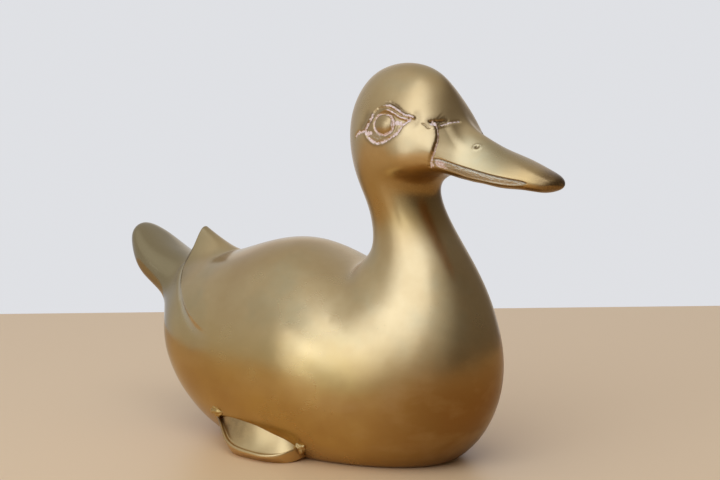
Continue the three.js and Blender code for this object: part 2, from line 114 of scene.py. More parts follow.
# %% Cross sections
# name, top (x, z), underside (x, z), half width, egg, power
stations = [
    ("tail tip", (-114, 84.2), (-114, 84.2), 0, 0, 2),
    ("tail end", (-112.4, 89), (-113.4, 79.3), 7, 0, 2),
    ("tail blade", (-105.5, 86.5), (-108.6, 71.5), 12.6, 0, 2.3),
    ("tail middle", (-97, 81.5), (-101, 63.5), 15.6, 0, 2.3),
    ("tail root", (-87.5, 77.6), (-89.6, 56), 16.6, 0.05, 2.15),
    ("rump", (-76.5, 75.8), (-83.6, 44.5), 20, 0.08, 2),
    ("haunch", (-63.5, 78.5), (-76.6, 23.4), 29.5, 0.1, 2),
    ("loin", (-46.5, 83), (-56.8, 4.1), 38, 0.12, 2.05),
    ("rear back", (-28, 88.7), (-29, -6.5), 44, 0.13, 2.1),
    ("back", (-10, 90.4), (1, -10), 47, 0.11, 2.1),
    ("shoulder", (5, 86.4), (31.5, -9.5), 46.5, 0.06, 2.1),
    ("fork", (15.5, 83), (58.2, -4), 42.3, 0.01, 2.05),
    ("crook", (21.5, 83), (77, 10.2), 37.6, -0.01, 2),
    ("breast", (25.5, 86.5), (86.6, 31.5), 32.2, -0.01, 2),
    ("neck base", (29, 92), (86.4, 55), 25.2, 0, 2),
    ("low neck", (29.3, 99), (77.8, 78.5), 19.3, 0, 2.08),
    ("neck", (27.4, 107), (65.6, 97.5), 16.2, 0, 2.15),
    ("throat", (23.9, 116), (58, 110.5), 16.4, 0, 2.15),
    ("nape", (18.5, 129.5), (58, 119), 18.5, 0, 2),
    ("back of head", (18.5, 149.5), (64.5, 123.5), 21.7, 0.06, 2),
    ("rear crown", (29.8, 166.4), (70.5, 124), 22.3, 0.16, 2),
    ("crown", (49.8, 169.6), (74.5, 123), 19.6, 0.25, 2),
    ("brow", (64, 161.4), (77.5, 122.5), 15.2, 0.47, 2),
    ("forehead", (72.8, 148.1), (81.5, 122), 12.6, 0.54, 2),
    ("bill root", (82.8, 140.7), (87, 121.5), 11.3, 0.48, 2.1),
    ("upper bill", (92.5, 136.3), (94.5, 120.5), 10.7, 0.33, 2.2),
    ("bill", (102, 133.2), (103.5, 120.5), 9.6, 0.22, 2.35),
    ("bill blade", (111, 129.6), (112, 120), 8.4, 0.12, 2.3),
    ("bill front", (116.4, 127.3), (116.6, 120.8), 6.3, 0.08, 2.1),
    ("bill end", (118.8, 125.2), (118.9, 122), 3, 0, 2),
    ("bill tip", (119.2, 123.5), (119.2, 123.5), 0, 0, 2),
]
print(len(stations), "cross sections")

# %% [markdown]
# Between the cross sections the form has to flow without a kink, because
# polished metal shows every kink as a broken reflection. A natural cubic
# spline does that: it is the curve of a springy batten held at the stations.
# One is laid through each measure. Past each tip goes a mirrored section,
# which rounds the tip instead of pinching it.


# %% Run a batten through each measure
def batten(values):
    """A natural cubic spline through values that lie one step apart."""
    values = np.array(values, float)
    count = len(values)
    rows = np.eye(count)
    wanted = np.zeros(count)
    for i in range(1, count - 1):
        rows[i, i - 1:i + 2] = 1, 4, 1
        wanted[i] = 6 * (values[i + 1] - 2 * values[i] + values[i - 1])
    bend = np.linalg.solve(rows, wanted)

    def at(place):
        i = np.clip(np.floor(place).astype(int), 0, count - 2)
        b = place - i
        a = 1 - b
        curve = (a ** 3 - a) * bend[i] + (b ** 3 - b) * bend[i + 1]
        return a * values[i] + b * values[i + 1] + curve / 6

    return at


def measure(read, sign):
    """One measure along the duck, mirrored past both tips with its sign kept or turned."""
    values = [read(s) for s in stations]
    return batten([sign * values[1], *values, sign * values[-2]])


centre_x = measure(lambda s: (s[1][0] + s[2][0]) / 2, 1)
centre_z = measure(lambda s: (s[1][1] + s[2][1]) / 2, 1)
reach_x = measure(lambda s: (s[1][0] - s[2][0]) / 2, -1)
reach_z = measure(lambda s: (s[1][1] - s[2][1]) / 2, -1)
half_width = measure(lambda s: s[3], -1)
egg_shape = measure(lambda s: s[4], 1)
corner_power = measure(lambda s: s[5], 1)


def skin_point(station, angle, inset=0.0):
    """Points of the form. Angle 0 is the duck's left and a quarter turn is the top."""
    at = np.asarray(station, float) + 1
    tall = np.hypot(reach_x(at), reach_z(at))
    keep = np.maximum(tall - inset, 0) / np.maximum(tall, 1e-9)
    across, up, power = np.cos(angle), np.sin(angle), corner_power(at)
    size = (abs(across) ** power + abs(up) ** power) ** (-1 / power)
    half = np.maximum(half_width(at) - inset, 0)
    return np.stack([
        centre_x(at) + reach_x(at) * keep * size * up,
        half * size * across * (1 - egg_shape(at) * up),
        centre_z(at) + reach_z(at) * keep * size * up,
    ], -1)


print("top of the back:", skin_point(9, math.pi / 2).round(1))

# %% [markdown]
# ## From points to a skin
#
# A grid of rings round the S is easy to control: where a line is cut into the
# metal the rings lie closer together, and elsewhere they are further apart.
# The angles round a ring are crowded towards the two sides in the same way,
# because that is where the eyes, the mouth and the wing edges are.


# %% Rings and angles
def spread(*runs):
    """Places from run to run, each run being (from, to, step)."""
    places = [np.arange(a, b - step / 2, step) for a, b, step in runs]
    return np.concatenate([*places, [runs[-1][1]]])


def crowded_angles(sides, crowd):
    """Angles round a ring, closer together at the duck's two sides."""
    turn = np.arange(sides) * 2 * np.pi / sides
    return turn - crowd * np.sin(2 * turn) / 2


def outward(grid):
    """The unit step out of the metal at each point of a grid of rings."""
    along = np.gradient(grid, axis=0)
    around = np.roll(grid, -1, axis=1) - np.roll(grid, 1, axis=1)
    normal = np.cross(around, along)
    return normal / np.maximum(np.linalg.norm(normal, axis=-1, keepdims=True), 1e-12)


def skin_over(name, rings, closed=False):
    """A mesh over rings of points in millimetres, capped at both ends or closed to a band."""
    count, sides = rings.shape[:2]
    points = rings.reshape(-1, 3)
    here = np.arange(count * sides).reshape(count, sides)
    if closed:
        here = np.vstack([here, here[:1]])
    beside = np.roll(here, -1, axis=1)
    quads = np.stack([here[:-1], beside[:-1], beside[1:], here[1:]], -1).reshape(-1, 4)
    faces = quads.tolist()
    if not closed:
        points = np.vstack([points, rings[0].mean(0), rings[-1].mean(0)])
        for ring, hub, turned in ((here[0], count * sides, True), (here[-1], count * sides + 1, False)):
            after = np.roll(ring, -1)
            first, second = (after, ring) if turned else (ring, after)
            faces += [[hub, int(a), int(b)] for a, b in zip(first, second)]
    mesh = bpy.data.meshes.new(name)
    mesh.from_pydata((points * mm).tolist(), [], faces)
    mesh.shade_smooth()
    return add_object(name, mesh)


def sharpen_rings(piece, sides, *rings):
    """Marks the edges round whole rings as sharp, so that the step there isn't shaded round."""
    ends = np.zeros(2 * len(piece.data.edges), int)
    piece.data.edges.foreach_get("vertices", ends)
    ring_of_end = ends.reshape(-1, 2) // sides
    sharp = (ring_of_end[:, 0] == ring_of_end[:, 1]) & np.isin(ring_of_end[:, 0], rings)
    piece.data.attributes.new("sharp_edge", "BOOLEAN", "EDGE").data.foreach_set("value", sharp)


def keep_value(piece, name, values):
    """Stores one number for each point of a piece, for its material to read."""
    padded = np.zeros(len(piece.data.vertices), np.float32)
    padded[:values.size] = values.ravel()
    piece.data.attributes.new(name, "FLOAT", "POINT").data.foreach_set("value", padded)


print("angles crowd from", np.diff(crowded_angles(288, 0.45))[[0, 72]].round(4))

# %% [markdown]
# ## Work by hand
#
# A cast and filed surface is never a perfect curve. Slow waves a tenth of a
# millimetre high, and much fainter ripples, bend the reflections as the maker's
# file did. A bump in the material could only shade them, while these bend the
# outline too. They are made from Blender's own noise at each point, in
# millimetres, so they are the same every time and run on from one piece to the
# next.


# %% File waves, steps and grooves
def waves(points, size, seed=0.0):
    """Smooth noise from about -1 to 1 at each point, its waves about size millimetres long."""
    flat = (points.reshape(-1, 3) / size + seed).tolist()
    return np.array([noise.noise(p) for p in flat]).reshape(points.shape[:-1])


def smooth(value, low, high):
    """From 0 to 1 between low and high, easing in and out."""
    share = np.clip((value - low) / (high - low), 0, 1)
    return share * share * (3 - 2 * share)


def fading(distance, half):
    """1 at no distance, dying away over a half width."""
    return np.exp(-(distance / half) ** 2)


def groove(distance, half, depth):
    """A rounded groove: its depth at a distance from its middle."""
    return -depth * fading(distance, half)


file_wave = 0.12
file_wave_length = 16
ripple = 0.014
ripple_length = 4.5


def filed(grid):
    """The skin as the file left it."""
    out = outward(grid)
    height = file_wave * waves(grid, file_wave_length) + ripple * waves(grid, ripple_length, 7.3)
    return grid + out * height[..., None]


# %% [markdown]
# ## The body
#
# The folded wings are in low relief on the back. In plan their rear edge is
# half an ellipse; there the wing stands up a little from the rump, and a
# groove runs behind it, which catches light on its far side. Over the tail the
# two wings end in one short raised tip. The relief could be its own mesh laid
# on top, but on the real duck it is one piece of metal with the body, so it is
# made by lifting the skin.

# %% Wing relief
wing_x = -10
wing_length = 67
wing_half_width = 44
wing_step = 1.1
wing_groove = 0.75
wing_groove_half = 0.75
wing_groove_behind = 0.9
wing_fade_low, wing_fade_high = 44, 62
wing_tip_x = -72.5
wing_tip_rise = 13.5
wing_tip_slope = 17.5
wing_tip_back = 5.5
wing_tip_half_width = 8.5


def wing_relief(grid, station, angle):
    """How far the skin is lifted out, and the tip raised, at each point, and 1 in the groove."""
    x, y, z = grid[..., 0], grid[..., 1], grid[..., 2]
    high = np.sin(angle)[None, :]
    past_tail = smooth(station[:, None], 3.6, 4.1)
    across, along = y / wing_half_width, (x - wing_x) / wing_length
    rearward = np.hypot(along, across)
    slope = np.hypot(along / wing_length, across / wing_half_width) / np.maximum(rearward, 1e-6)
    inside = (1 - rearward) / np.maximum(slope, 1e-6)
    upper = smooth(high, -0.35, -0.1) * past_tail
    behind = smooth(-along, 0.25, 0.55) * smooth(z, wing_fade_low, wing_fade_high)
    strength = upper * behind
    lift = wing_step * smooth(inside, -0.5, 0.5) * smooth(-inside, -30, -4)
    lift = (lift + groove(inside + wing_groove_behind, wing_groove_half, wing_groove)) * strength
    front = np.clip((wing_tip_x + wing_tip_slope - x) / wing_tip_slope, 0, 1)
    rear = np.clip((x - wing_tip_x + wing_tip_back) / wing_tip_back, 0, 1)
    tip = wing_tip_rise * front * rear
    tip *= fading(y, wing_tip_half_width) * smooth(high, 0.1, 0.5)
    in_groove = fading(inside + wing_groove_behind, wing_groove_half) * strength
    return lift, tip * past_tail, in_groove


print("wing edge from x", wing_x - wing_length, "mm, its tip", wing_tip_rise, "mm high")

# %% [markdown]
# The body ends in the seam on the neck, where its last two rings step inwards
# to make a seat for the braze. The underside is pressed flat, with a soft edge,
# so that the duck sits. Ahead of each wing the neck runs into the flank over a
# wide shallow hollow, and a few faint knocks show only where light glances over
# them. All of this moves the points of one grid, before there is any mesh.

# %% Body rings
neck_seam = 17.5
braze_half = 0.16
seat_depth = 1.8
braze_depth = 1.5
fit_gap = 0.3
body_angles = crowded_angles(288, 0.4)
body_places = spread(
    (0.004, 0.1, 0.024), (0.1, 4, 0.075), (4, 8, 0.034), (8, 14, 0.07), (14, neck_seam - braze_half, 0.06)
)


def grid_of(places, angles, inset=0.0):
    """The form as rings of points, or a skin that lies some way inside it."""
    return skin_point(places[:, None], angles[None, :], inset)


def seat_rings(places, angles):
    """Rings at the depth of the seat that the braze fills."""
    return grid_of(np.array(places), angles, seat_depth)


def both_sides(grid):
    """The points as they lie, with those of the duck's right laid over its left."""
    return grid * (1, 0, 1) + np.abs(grid) * (0, 1, 0)


def patch(grid, middle, half_sizes):
    """1 at a place (x, z) in the side view, dying away over the half sizes."""
    x_way = (grid[..., 0] - middle[0]) / half_sizes[0]
    z_way = (grid[..., 2] - middle[1]) / half_sizes[1]
    return np.exp(-x_way ** 2 - z_way ** 2)


body_grid = grid_of(body_places, body_angles)
print("body skin:", body_grid.shape[:2], "rings and sides")

# %% Shape the body
# knocks it has taken, as x, y, z, half width
dings = [
    (42.8, -38, 66, 1.4), (27.7, -35, 64, 1.1), (76.9, -23.6, 48.9, 1.3), (78.8, -7.6, 73.4, 1.2),
    (35.8, -45, 26.3, 1.6), (61, -36, 45.6, 1.2), (55.4, -35.8, 15.5, 1.3),
]
ding_depth = 0.05
hollow_at = (48.8, 35.4, 55.3)
hollow_size = 20
hollow_depth = 2
base_edge = 0.8

lift, tip, in_groove = wing_relief(body_grid, body_places, body_angles)
for x, y, z, size in dings:
    away = np.linalg.norm(body_grid - (x, y, z), axis=-1)
    lift += groove(away, size, ding_depth)
from_hollow = np.linalg.norm(both_sides(body_grid) - hollow_at, axis=-1)
lift += groove(from_hollow, hollow_size, hollow_depth)
body_grid = filed(body_grid + outward(body_grid) * lift[..., None])
body_grid[..., 2] += tip
height = body_grid[..., 2]
body_grid[..., 2] = (height + np.hypot(height, base_edge)) / 2
print("lifted by", lift.min().round(2), "to", lift.max().round(2), "mm")

# %% [markdown]
# Some metal is darker or paler than the rest, and part of that is painted
# light. So the points also carry numbers for the material to read: pale grit
# where the metal in the wing's groove was never filed, partly a painted
# highlight of the wing's lip; a darker tail, partly olive patina and partly
# painted shade, with painted shade under it; and grime with painted shade where
# the throat turns down into the neck. A painted picture could do it, but numbers
# on the points need no unwrapping and follow the form.

# %% Body casting
throat_dark_middle = (60, 118)
throat_dark_half_sizes = (13, 8)
throat_dark_strength = 0.62
groove_grit_and_highlight = 0.9
# the tail's darkening is partly olive patina and partly painted shade that damps the window's highlight;
# under the tail it is painted shade
tail_patina_and_shade, under_tail_painted_shade = 0.2, 0.5


def neck_stain_and_shade(grid):
    """Darker brown where the throat turns down into the neck: grime, and painted shade."""
    return throat_dark_strength * patch(grid, throat_dark_middle, throat_dark_half_sizes)


seam_end = seat_rings([neck_seam - braze_half, neck_seam - 0.02], body_angles)
body = skin_over("duck_body", np.concatenate([body_grid, seam_end]))
sharpen_rings(body, len(body_angles), len(body_grid) - 1)
# pale grit in the wing's groove, partly a painted highlight of the wing's lip
keep_value(body, "grit_and_highlight", groove_grit_and_highlight * in_groove * smooth(waves(body_grid, 6, 1.0), -0.9, -0.2))
under_tail = smooth(-np.sin(body_angles), 0.1, 0.5)
tail_darkening = smooth(-body_grid[..., 0], 60, 90) * (tail_patina_and_shade + under_tail_painted_shade * under_tail)
keep_value(body, "grime_and_shade", np.maximum(neck_stain_and_shade(body_grid), tail_darkening))
print("body:", len(body.data.vertices), "points,", [round(v, 4) for v in body.dimensions], "m")

# %% [markdown]
# ## The head
#
# The head is the same skin, from the seam on the neck to the tip of the bill.
# Its lines were cut into the wax before casting: the lids, the edge of the
# feathers against the bill, the mouth and the nostrils. They could be a bump
# in the material, but from close by, and in the mesh itself, a groove has to be
# a groove. So every line is drawn in the side view, laid onto the skin, and
# pressed in by its distance to each point.


# %% Draw on the side of the head
def catmull_rom(points, per_span=8):
    """A smooth line through drawn points."""
    points = np.array(points, float)
    ends = np.vstack([2 * points[0] - points[1], points, 2 * points[-1] - points[-2]])
    share = np.arange(per_span)[:, None] / per_span
    spans = []
    for p0, p1, p2, p3 in zip(ends, ends[1:], ends[2:], ends[3:]):
        bend = (2 * p0 - 5 * p1 + 4 * p2 - p3) * share ** 2 + (3 * p1 - p0 - 3 * p2 + p3) * share ** 3
        spans.append(p1 + ((p2 - p0) * share + bend) / 2)
    return np.vstack([*spans, points[-1:]])


def onto_side(drawn, grid):
    """Lays (x, z) points of the side view onto the duck's right side, as (x, -y, z)."""
    side = grid.reshape(-1, 3)
    side = side[side[:, 1] < 0] * (1, -1, 1)
    across = np.abs(side[None, :, 0] - drawn[:, 0, None]) + np.abs(side[None, :, 2] - drawn[:, 1, None])
    return side[across.argmin(1)]


class DrawnLine:
    """A line on both sides of a grid: how far each point is from it, and whether it lies ahead."""

    def __init__(self, grid, drawn, reach=4.0, per_span=8):
        line = onto_side(catmull_rom(drawn, per_span), grid)
        points = both_sides(grid)
        low, high = line.min(0) - reach, line.max(0) + reach
        near = ((points > low) & (points < high)).all(-1)
        start, span = line[:-1], np.diff(line, axis=0)
        away = points[near][:, None] - start
        share = np.einsum("ijk,jk->ij", away, span) / np.maximum((span ** 2).sum(-1), 1e-9)
        share = np.clip(share, 0, 1)
        gap = away - share[..., None] * span
        length = np.linalg.norm(gap, axis=-1)
        best = length.argmin(1)
        rows = np.arange(len(best))
        self.distance = np.full(near.shape, 1e3)
        self.distance[near] = length[rows, best]
        self.ahead = np.zeros(near.shape)
        self.ahead[near] = gap[rows, best, 0]
        self.along = np.zeros(near.shape)
        self.along[near] = (best + share[rows, best]) / (len(line) - 1)


def cut(line, half, depth):
    """A groove along a drawn line."""
    return groove(line.distance, half, depth)


def beside(line, half, shift=0.0):
    """1 on a drawn line or a little off it, dying away over its half width."""
    return fading(line.distance - shift, half)


def inside(grid, outline):
    """1 where a point lies within a closed outline in the side view."""
    x, z = grid[..., 0], grid[..., 2]
    within = np.zeros(x.shape, bool)
    for (x1, z1), (x2, z2) in zip(outline, np.roll(outline, -1, axis=0)):
        crosses = (z1 > z) != (z2 > z)
        within ^= crosses & (x < (x2 - x1) * (z - z1) / (z2 - z1 + 1e-12) + x1)
    return within.astype(float)


print("a drawn line has", len(catmull_rom([(0, 0), (1, 0), (2, 1)])), "points for 2 spans")

# %% [markdown]
# Low on each side the cheek is fuller than any simple section, so it is blown
# out a little where the corner of the mouth will be. Then the head skin starts
# with nothing carved. Three layers will keep what is left on it, for the
# metal's material to show: the pale residue of dried polish, which also lays a
# painted highlight on the lid ridges; brown grime beside the cuts, with painted
# shade under overhangs and in hollows; and the dull grit of metal that was
# never filed.

# %% Head skin
cheek_x, cheek_z = 57.5, 128
cheek_long, cheek_up, cheek_down = 12, 8, 5
cheek_full = 3.8
head_angles = crowded_angles(320, 0.55)
head_places = spread(
    (neck_seam + braze_half, 19, 0.06), (19, 22.2, 0.026), (22.2, 24.2, 0.04), (24.2, 29.9, 0.056),
    (29.9, 29.996, 0.024)
)


def with_cheeks(grid):
    """Fills the cheeks out low down, behind the corners of the mouth."""
    x, y, z = grid[..., 0], grid[..., 1], grid[..., 2]
    tall = np.where(z > cheek_z, cheek_up, cheek_down)
    full = np.exp(-((x - cheek_x) / cheek_long) ** 2 - ((z - cheek_z) / tall) ** 2) * smooth(abs(y), 6, 14)
    return grid + (cheek_full * full * np.sign(y))[..., None] * (0, 1, 0)


head_grid = filed(with_cheeks(grid_of(head_places, head_angles)))
carved = np.zeros(head_grid.shape[:2])
residue_and_highlight = np.zeros(head_grid.shape[:2])
grime_and_shade = np.zeros(head_grid.shape[:2])
grit_and_highlight = np.zeros(head_grid.shape[:2])
head_x, head_y, head_z = head_grid[..., 0], np.abs(head_grid[..., 1]), head_grid[..., 2]


def leave(layer, amount):
    """What a polisher leaves stays where it is thickest."""
    np.maximum(layer, amount, out=layer)


print("head skin:", head_grid.shape[:2], "rings and sides")

# %% [markdown]
# ## The eye
#
# The eye is a low dome in a ring groove, between a heavy upper lid of two
# ridges and a thin lower lid. The polisher's wheel never reached into the
# grooves, so a pinkish white crust of polish has dried there. Each lid line is
# drawn once, and is then used twice, to cut the metal and to leave the crust.

# %% Eyeball and ring
eye_x, eye_z = 46.4, 145.8
ring_wide, ring_tall = 5.1, 4.45
ring_groove_half, ring_groove = 0.4, 0.6
ball_height, ball_sunk = 1.75, 0.75
eye_x_way = (head_x - eye_x) / ring_wide
eye_z_way = (head_z - eye_z) / ring_tall
on_cheeks = head_y > 10
from_eye = np.where(on_cheeks, np.hypot(eye_x_way, eye_z_way), 9)
ball = np.sqrt(np.clip(1 - (from_eye / 0.95) ** 2, 0, 1))
ring_way = (from_eye - 1) * ring_tall
print("points on the eyeballs:", int((ball > 0).sum()))

# %% Lid lines
lid_outline = [
    (36.0, 142.4), (37.6, 145.0), (38.9, 147.3), (40.3, 150.0), (43.0, 152.8), (46.0, 153.8),
    (48.7, 153.8), (50.8, 152.9), (53.4, 151.7), (55.8, 150.4), (60.0, 149.3), (57.6, 147.4),
    (55.6, 145.7), (54.9, 143.9), (53.5, 142.2), (51.3, 140.6), (48.9, 139.4), (46.7, 138.4),
    (44.4, 137.9), (42.4, 137.9), (40.1, 138.5), (37.8, 140.0),
]
lower_lid = DrawnLine(head_grid, [
    (36.1, 142.3), (37.8, 140.0), (40.1, 138.5), (42.5, 137.9), (44.4, 137.9), (46.8, 138.4), (49.1, 139.4),
    (51.3, 140.7), (53.6, 142.3), (55.0, 144.0), (55.7, 145.6), (57.4, 147.1), (58.9, 148.4),
])
rear_crease = DrawnLine(head_grid, [(29.4, 139.7), (32.5, 141.3), (36.0, 142.3)])
rear_lid = DrawnLine(head_grid, [(36.2, 142.7), (37.6, 145.0), (38.9, 147.3), (40.1, 149.6)])
upper_edge = DrawnLine(head_grid, [
    (41.3, 152.0), (43.4, 153.5), (45.8, 154.4), (49.2, 154.3), (51.5, 153.4), (53.8, 152.0), (56.2, 150.9),
    (60.4, 149.9),
])
outer_ridge = DrawnLine(head_grid, [
    (41.0, 150.6), (42.6, 152.0), (44.8, 153.0), (47.5, 153.3), (49.6, 153.0), (51.9, 152.0), (54.0, 150.9),
    (56.2, 149.9), (59.8, 149.1),
])
inner_ridge = DrawnLine(head_grid, [
    (42.0, 149.5), (44.0, 150.9), (46.3, 151.6), (48.6, 151.5), (51.0, 150.6), (52.8, 149.7), (54.7, 148.9),
    (57.4, 148.3),
])
front_hollow = DrawnLine(head_grid, [(60.9, 150.0), (61.5, 148.6), (61.0, 147.0)], reach=7)
rear_hollow = DrawnLine(head_grid, [(33.5, 143.0), (35.4, 145.8), (36.8, 149.0)], reach=7)

# %% Carve the eye
in_lids = inside(head_grid, lid_outline) * on_cheeks
lid_sunk = 0.45
off_lines = smooth(lower_lid.distance, 0.0, 0.5) * smooth(rear_lid.distance, 0.0, 0.4)
rear_end = smooth(-rear_lid.along, -0.98, -0.6)
upper_end = smooth(upper_edge.along, 0.1, 0.5) * smooth(-upper_edge.along, -1.0, -0.8)
carved -= lid_sunk * in_lids * off_lines
# each cut and hollow with its half width, its depth and where along it the tool was lifted
for line, half, depth, end in (
    (lower_lid, 0.36, 0.75, 1), (rear_lid, 0.36, 0.8, rear_end), (rear_crease, 0.4, 0.5, 1),
    (upper_edge, 0.5, 0.5, upper_end), (front_hollow, 1.8, 0.35, 1), (rear_hollow, 1.6, 0.3, 1),
):
    carved += cut(line, half, depth) * end
carved -= cut(outer_ridge, 0.6, 1.05) * smooth(outer_ridge.along, 0.03, 0.4)
carved -= cut(inner_ridge, 0.55, 0.85) * smooth(inner_ridge.along, 0.03, 0.35)
on_ball = 1 - smooth(from_eye, 0.93, 1.06)
carved = carved * (1 - on_ball) + (ball_height * ball - ball_sunk) * on_ball
carved += groove(ring_way, ring_groove_half, ring_groove)
print("eye carved from", carved.min().round(2), "to", carved.max().round(2), "mm")

# %% Residue and painted highlight round the eye
patchy = 0.75 + 0.4 * waves(head_grid, 1.6, 12.0)
below_lid = smooth(-head_z, -150.8, -149.6)
leave(residue_and_highlight, patchy * fading(ring_way + 0.05, 0.8) * below_lid)
# each cut with the half width of its crust
for line, half in ((lower_lid, 0.82), (rear_lid, 0.66), (rear_crease, 0.6)):
    leave(residue_and_highlight, patchy * beside(line, half))
# pale crust on the crests of the two lid ridges: a painted highlight
leave(residue_and_highlight, 0.85 * beside(outer_ridge, 0.5) * smooth(outer_ridge.along, 0.15, 0.4))
leave(residue_and_highlight, 0.8 * beside(inner_ridge, 0.42) * smooth(inner_ridge.along, 0.15, 0.5))
# clots in the corners of the eye, as x, z, size
clots = ((53.3, 146.7, 1.15), (38.1, 141.4, 1.1), (39.6, 141.7, 0.9), (54.9, 146.6, 0.9))
for clot_x, clot_z, clot_size in clots:
    clot = np.hypot(head_x - clot_x, head_z - clot_z) / clot_size
    leave(residue_and_highlight, np.exp(-clot ** 4) * on_cheeks)
print("points under residue:", int((residue_and_highlight > 0.5).sum()))

# %% Grime and painted shade round the eye
round_ball = fading(ring_way - 0.75, 0.35)
behind_lid = smooth(-rear_lid.distance, -1.9, -0.3) * (head_x < 42)
# painted shade above the upper lid, where the brow's wall faces down
leave(grime_and_shade, 0.8 * beside(upper_edge, 0.6, 0.2) * upper_end)
# painted shade in the hollow before the eye, and darker in the one behind it
leave(grime_and_shade, 0.35 * beside(front_hollow, 2.0) + 0.45 * beside(rear_hollow, 1.8))
# on the eyeball, painted shade that damps the window's highlight; between the ring and the lids, darker
leave(grime_and_shade, 0.3 * (from_eye < 0.92) + 0.3 * in_lids * (from_eye > 1.1))
leave(grime_and_shade, 0.8 * behind_lid)
leave(grime_and_shade, 0.45 * beside(lower_lid, 0.7, 0.9) * (1 - in_lids))
leave(grime_and_shade, 0.55 * round_ball * in_lids)
print("points under grime:", int((grime_and_shade > 0.5).sum()))

# %% [markdown]
# Below the eyeball the lower lid carries a few short tool marks side by side,
# and rough metal where the tool could not follow. Small things like these say
# that a hand made it.

# %% Tool marks in the lower lid
for shift in (0.75, 1.5):
    mark = fading(ring_way - shift, 0.2) * in_lids
    mark *= smooth(head_x, 44.5, 47) * smooth(-head_z, -147, -144.5)
    mark *= 0.6 + 0.4 * waves(head_grid, 0.7, 3.1)
    carved -= 0.35 * mark
    leave(residue_and_highlight, 0.8 * mark)
rough = in_lids * smooth(-head_x, -46.5, -44.0) * smooth(ring_way, 0.4, 0.8) * smooth(-head_z, -142, -141)
carved += 0.25 * rough * waves(head_grid, 0.6, 5.5)
leave(grit_and_highlight, 0.4 * rough)
print("points in the rough corner:", int((rough > 0.5).sum()))

# %% [markdown]
# ## Where the bill meets the feathers
#
# The cheek stands about a millimetre proud of the bill and ends in a curved
# edge. A groove runs down its foot, and at the top it meets a short ragged cut
# and a fine line that runs forward over the bill. Cut by hand, the two sides
# are not alike: on the duck's left the edge stops below the brow, and the brow
# runs smoothly into the bill.

# %% Lines where the bill begins
cheek_edge = DrawnLine(head_grid, [
    (66.6, 147.5), (68.5, 145.4), (69.8, 142.6), (70.3, 139.8), (70.0, 136.2), (68.8, 132.4), (67.4, 129.0)
], reach=16)
top_cut = DrawnLine(head_grid, [(66.0, 147.4), (67.8, 147.7), (70.4, 147.5)])
top_notch = DrawnLine(head_grid, [(64.0, 146.6), (64.9, 146.1), (66.4, 144.9)])
fine_line = DrawnLine(head_grid, [(69.6, 146.2), (71.4, 146.8), (73.2, 147.2), (74.6, 147.3)])
below_left_brow = 1 - smooth(head_grid[..., 1], 0, 4) * smooth(head_z, 139, 142.5)
line_end = smooth(head_y, 3.2, 4.4) * below_left_brow
cut_end = smooth(head_y, 8, 10) * below_left_brow
edge_ends = smooth(cheek_edge.along, 0.0, 0.25) * smooth(-cheek_edge.along, -1.0, -0.72) * below_left_brow
behind_edge = smooth(-cheek_edge.ahead, -0.2, 0.8)
ahead_of_edge = smooth(cheek_edge.ahead, -0.1, 0.6) * smooth(head_y, 8, 12)
print("points near the cheek's edge:", int((cheek_edge.distance < 1).sum()))

# %% Carve the edge of the cheek
edge_proud, proud_reach = 0.5, 4.5
dip_ahead, dip_reach = 1.35, 8
groove_start = smooth(cheek_edge.along, -0.05, 0.05) * below_left_brow
ragged = 0.8 + 0.3 * waves(head_grid, 1.7, 2.0)
carved += edge_proud * behind_edge * beside(cheek_edge, proud_reach) * edge_ends
carved -= dip_ahead * ahead_of_edge * beside(cheek_edge, dip_reach) * edge_ends
carved += cut(cheek_edge, 0.45, 0.5) * groove_start
carved += cut(top_cut, 0.5, 0.7) * ragged * cut_end
carved += cut(top_notch, 0.45, 0.35) + cut(fine_line, 0.35, 0.4) * line_end
print("with the cheek's edge, carved from", carved.min().round(2), "to", carved.max().round(2), "mm")

# %% Residue, grime and painted shadow at the cheek's edge
foot_of_edge = beside(cheek_edge, 0.7, 0.25) * smooth(cheek_edge.ahead, -0.15, 0.2) * below_left_brow
edge_painted_shadow = beside(cheek_edge, 0.8, 0.5) * smooth(-cheek_edge.ahead, -0.1, 0.3) * edge_ends
round_top_cut = (0.8 * beside(top_cut, 0.55) + 0.4 * beside(top_cut, 1.1, 1.2)) * cut_end
leave(residue_and_highlight, foot_of_edge * (0.9 + 0.3 * waves(head_grid, 1.2, 4.0)))
leave(residue_and_highlight, patch(head_grid, (67.4, 146.5), (1.2, 0.8)) * below_left_brow)
leave(residue_and_highlight, 0.75 * patch(head_grid, (68.7, 129.8), (0.9, 1.5)) * (head_y > 8))
leave(residue_and_highlight, 0.95 * beside(fine_line, 0.36) * line_end)
# painted shadow behind the cheek's overhanging edge
leave(grime_and_shade, 0.6 * edge_painted_shadow)
leave(grime_and_shade, round_top_cut + 0.4 * beside(top_notch, 0.5))
print("points under residue now:", int((residue_and_highlight > 0.5).sum()))

# %% Grime and painted shade on the head
under_chin = patch(head_grid, (69, 121.5), (11, 5.5))
back_of_head = smooth(-head_x, -40, -22)
top_of_bill = smooth(head_x, 80, 94) * smooth(np.sin(head_angles), 0.2, 0.7)
tip_of_bill = smooth(head_x, 107, 116.5)
# under the chin grime and painted shade, on the top of the bill painted shade, at the back of the head and
# the bill's tip only darker
for place, darkening in ((under_chin, 1), (back_of_head, 0.16), (top_of_bill, 0.2), (tip_of_bill, 0.85)):
    leave(grime_and_shade, darkening * place)
# the throat's grime and painted shade
leave(grime_and_shade, neck_stain_and_shade(head_grid))
print("points under grime now:", int((grime_and_shade > 0.5).sum()))

# %% [markdown]
# ## Mouth and nostrils
#
# The mouth is a shallow band between two edges, left rough from the casting,
# with the upper bill hanging over it. Its grain is real in the mesh, half a
# millimetre across. The nostril is a small punched pit with a raised rim.

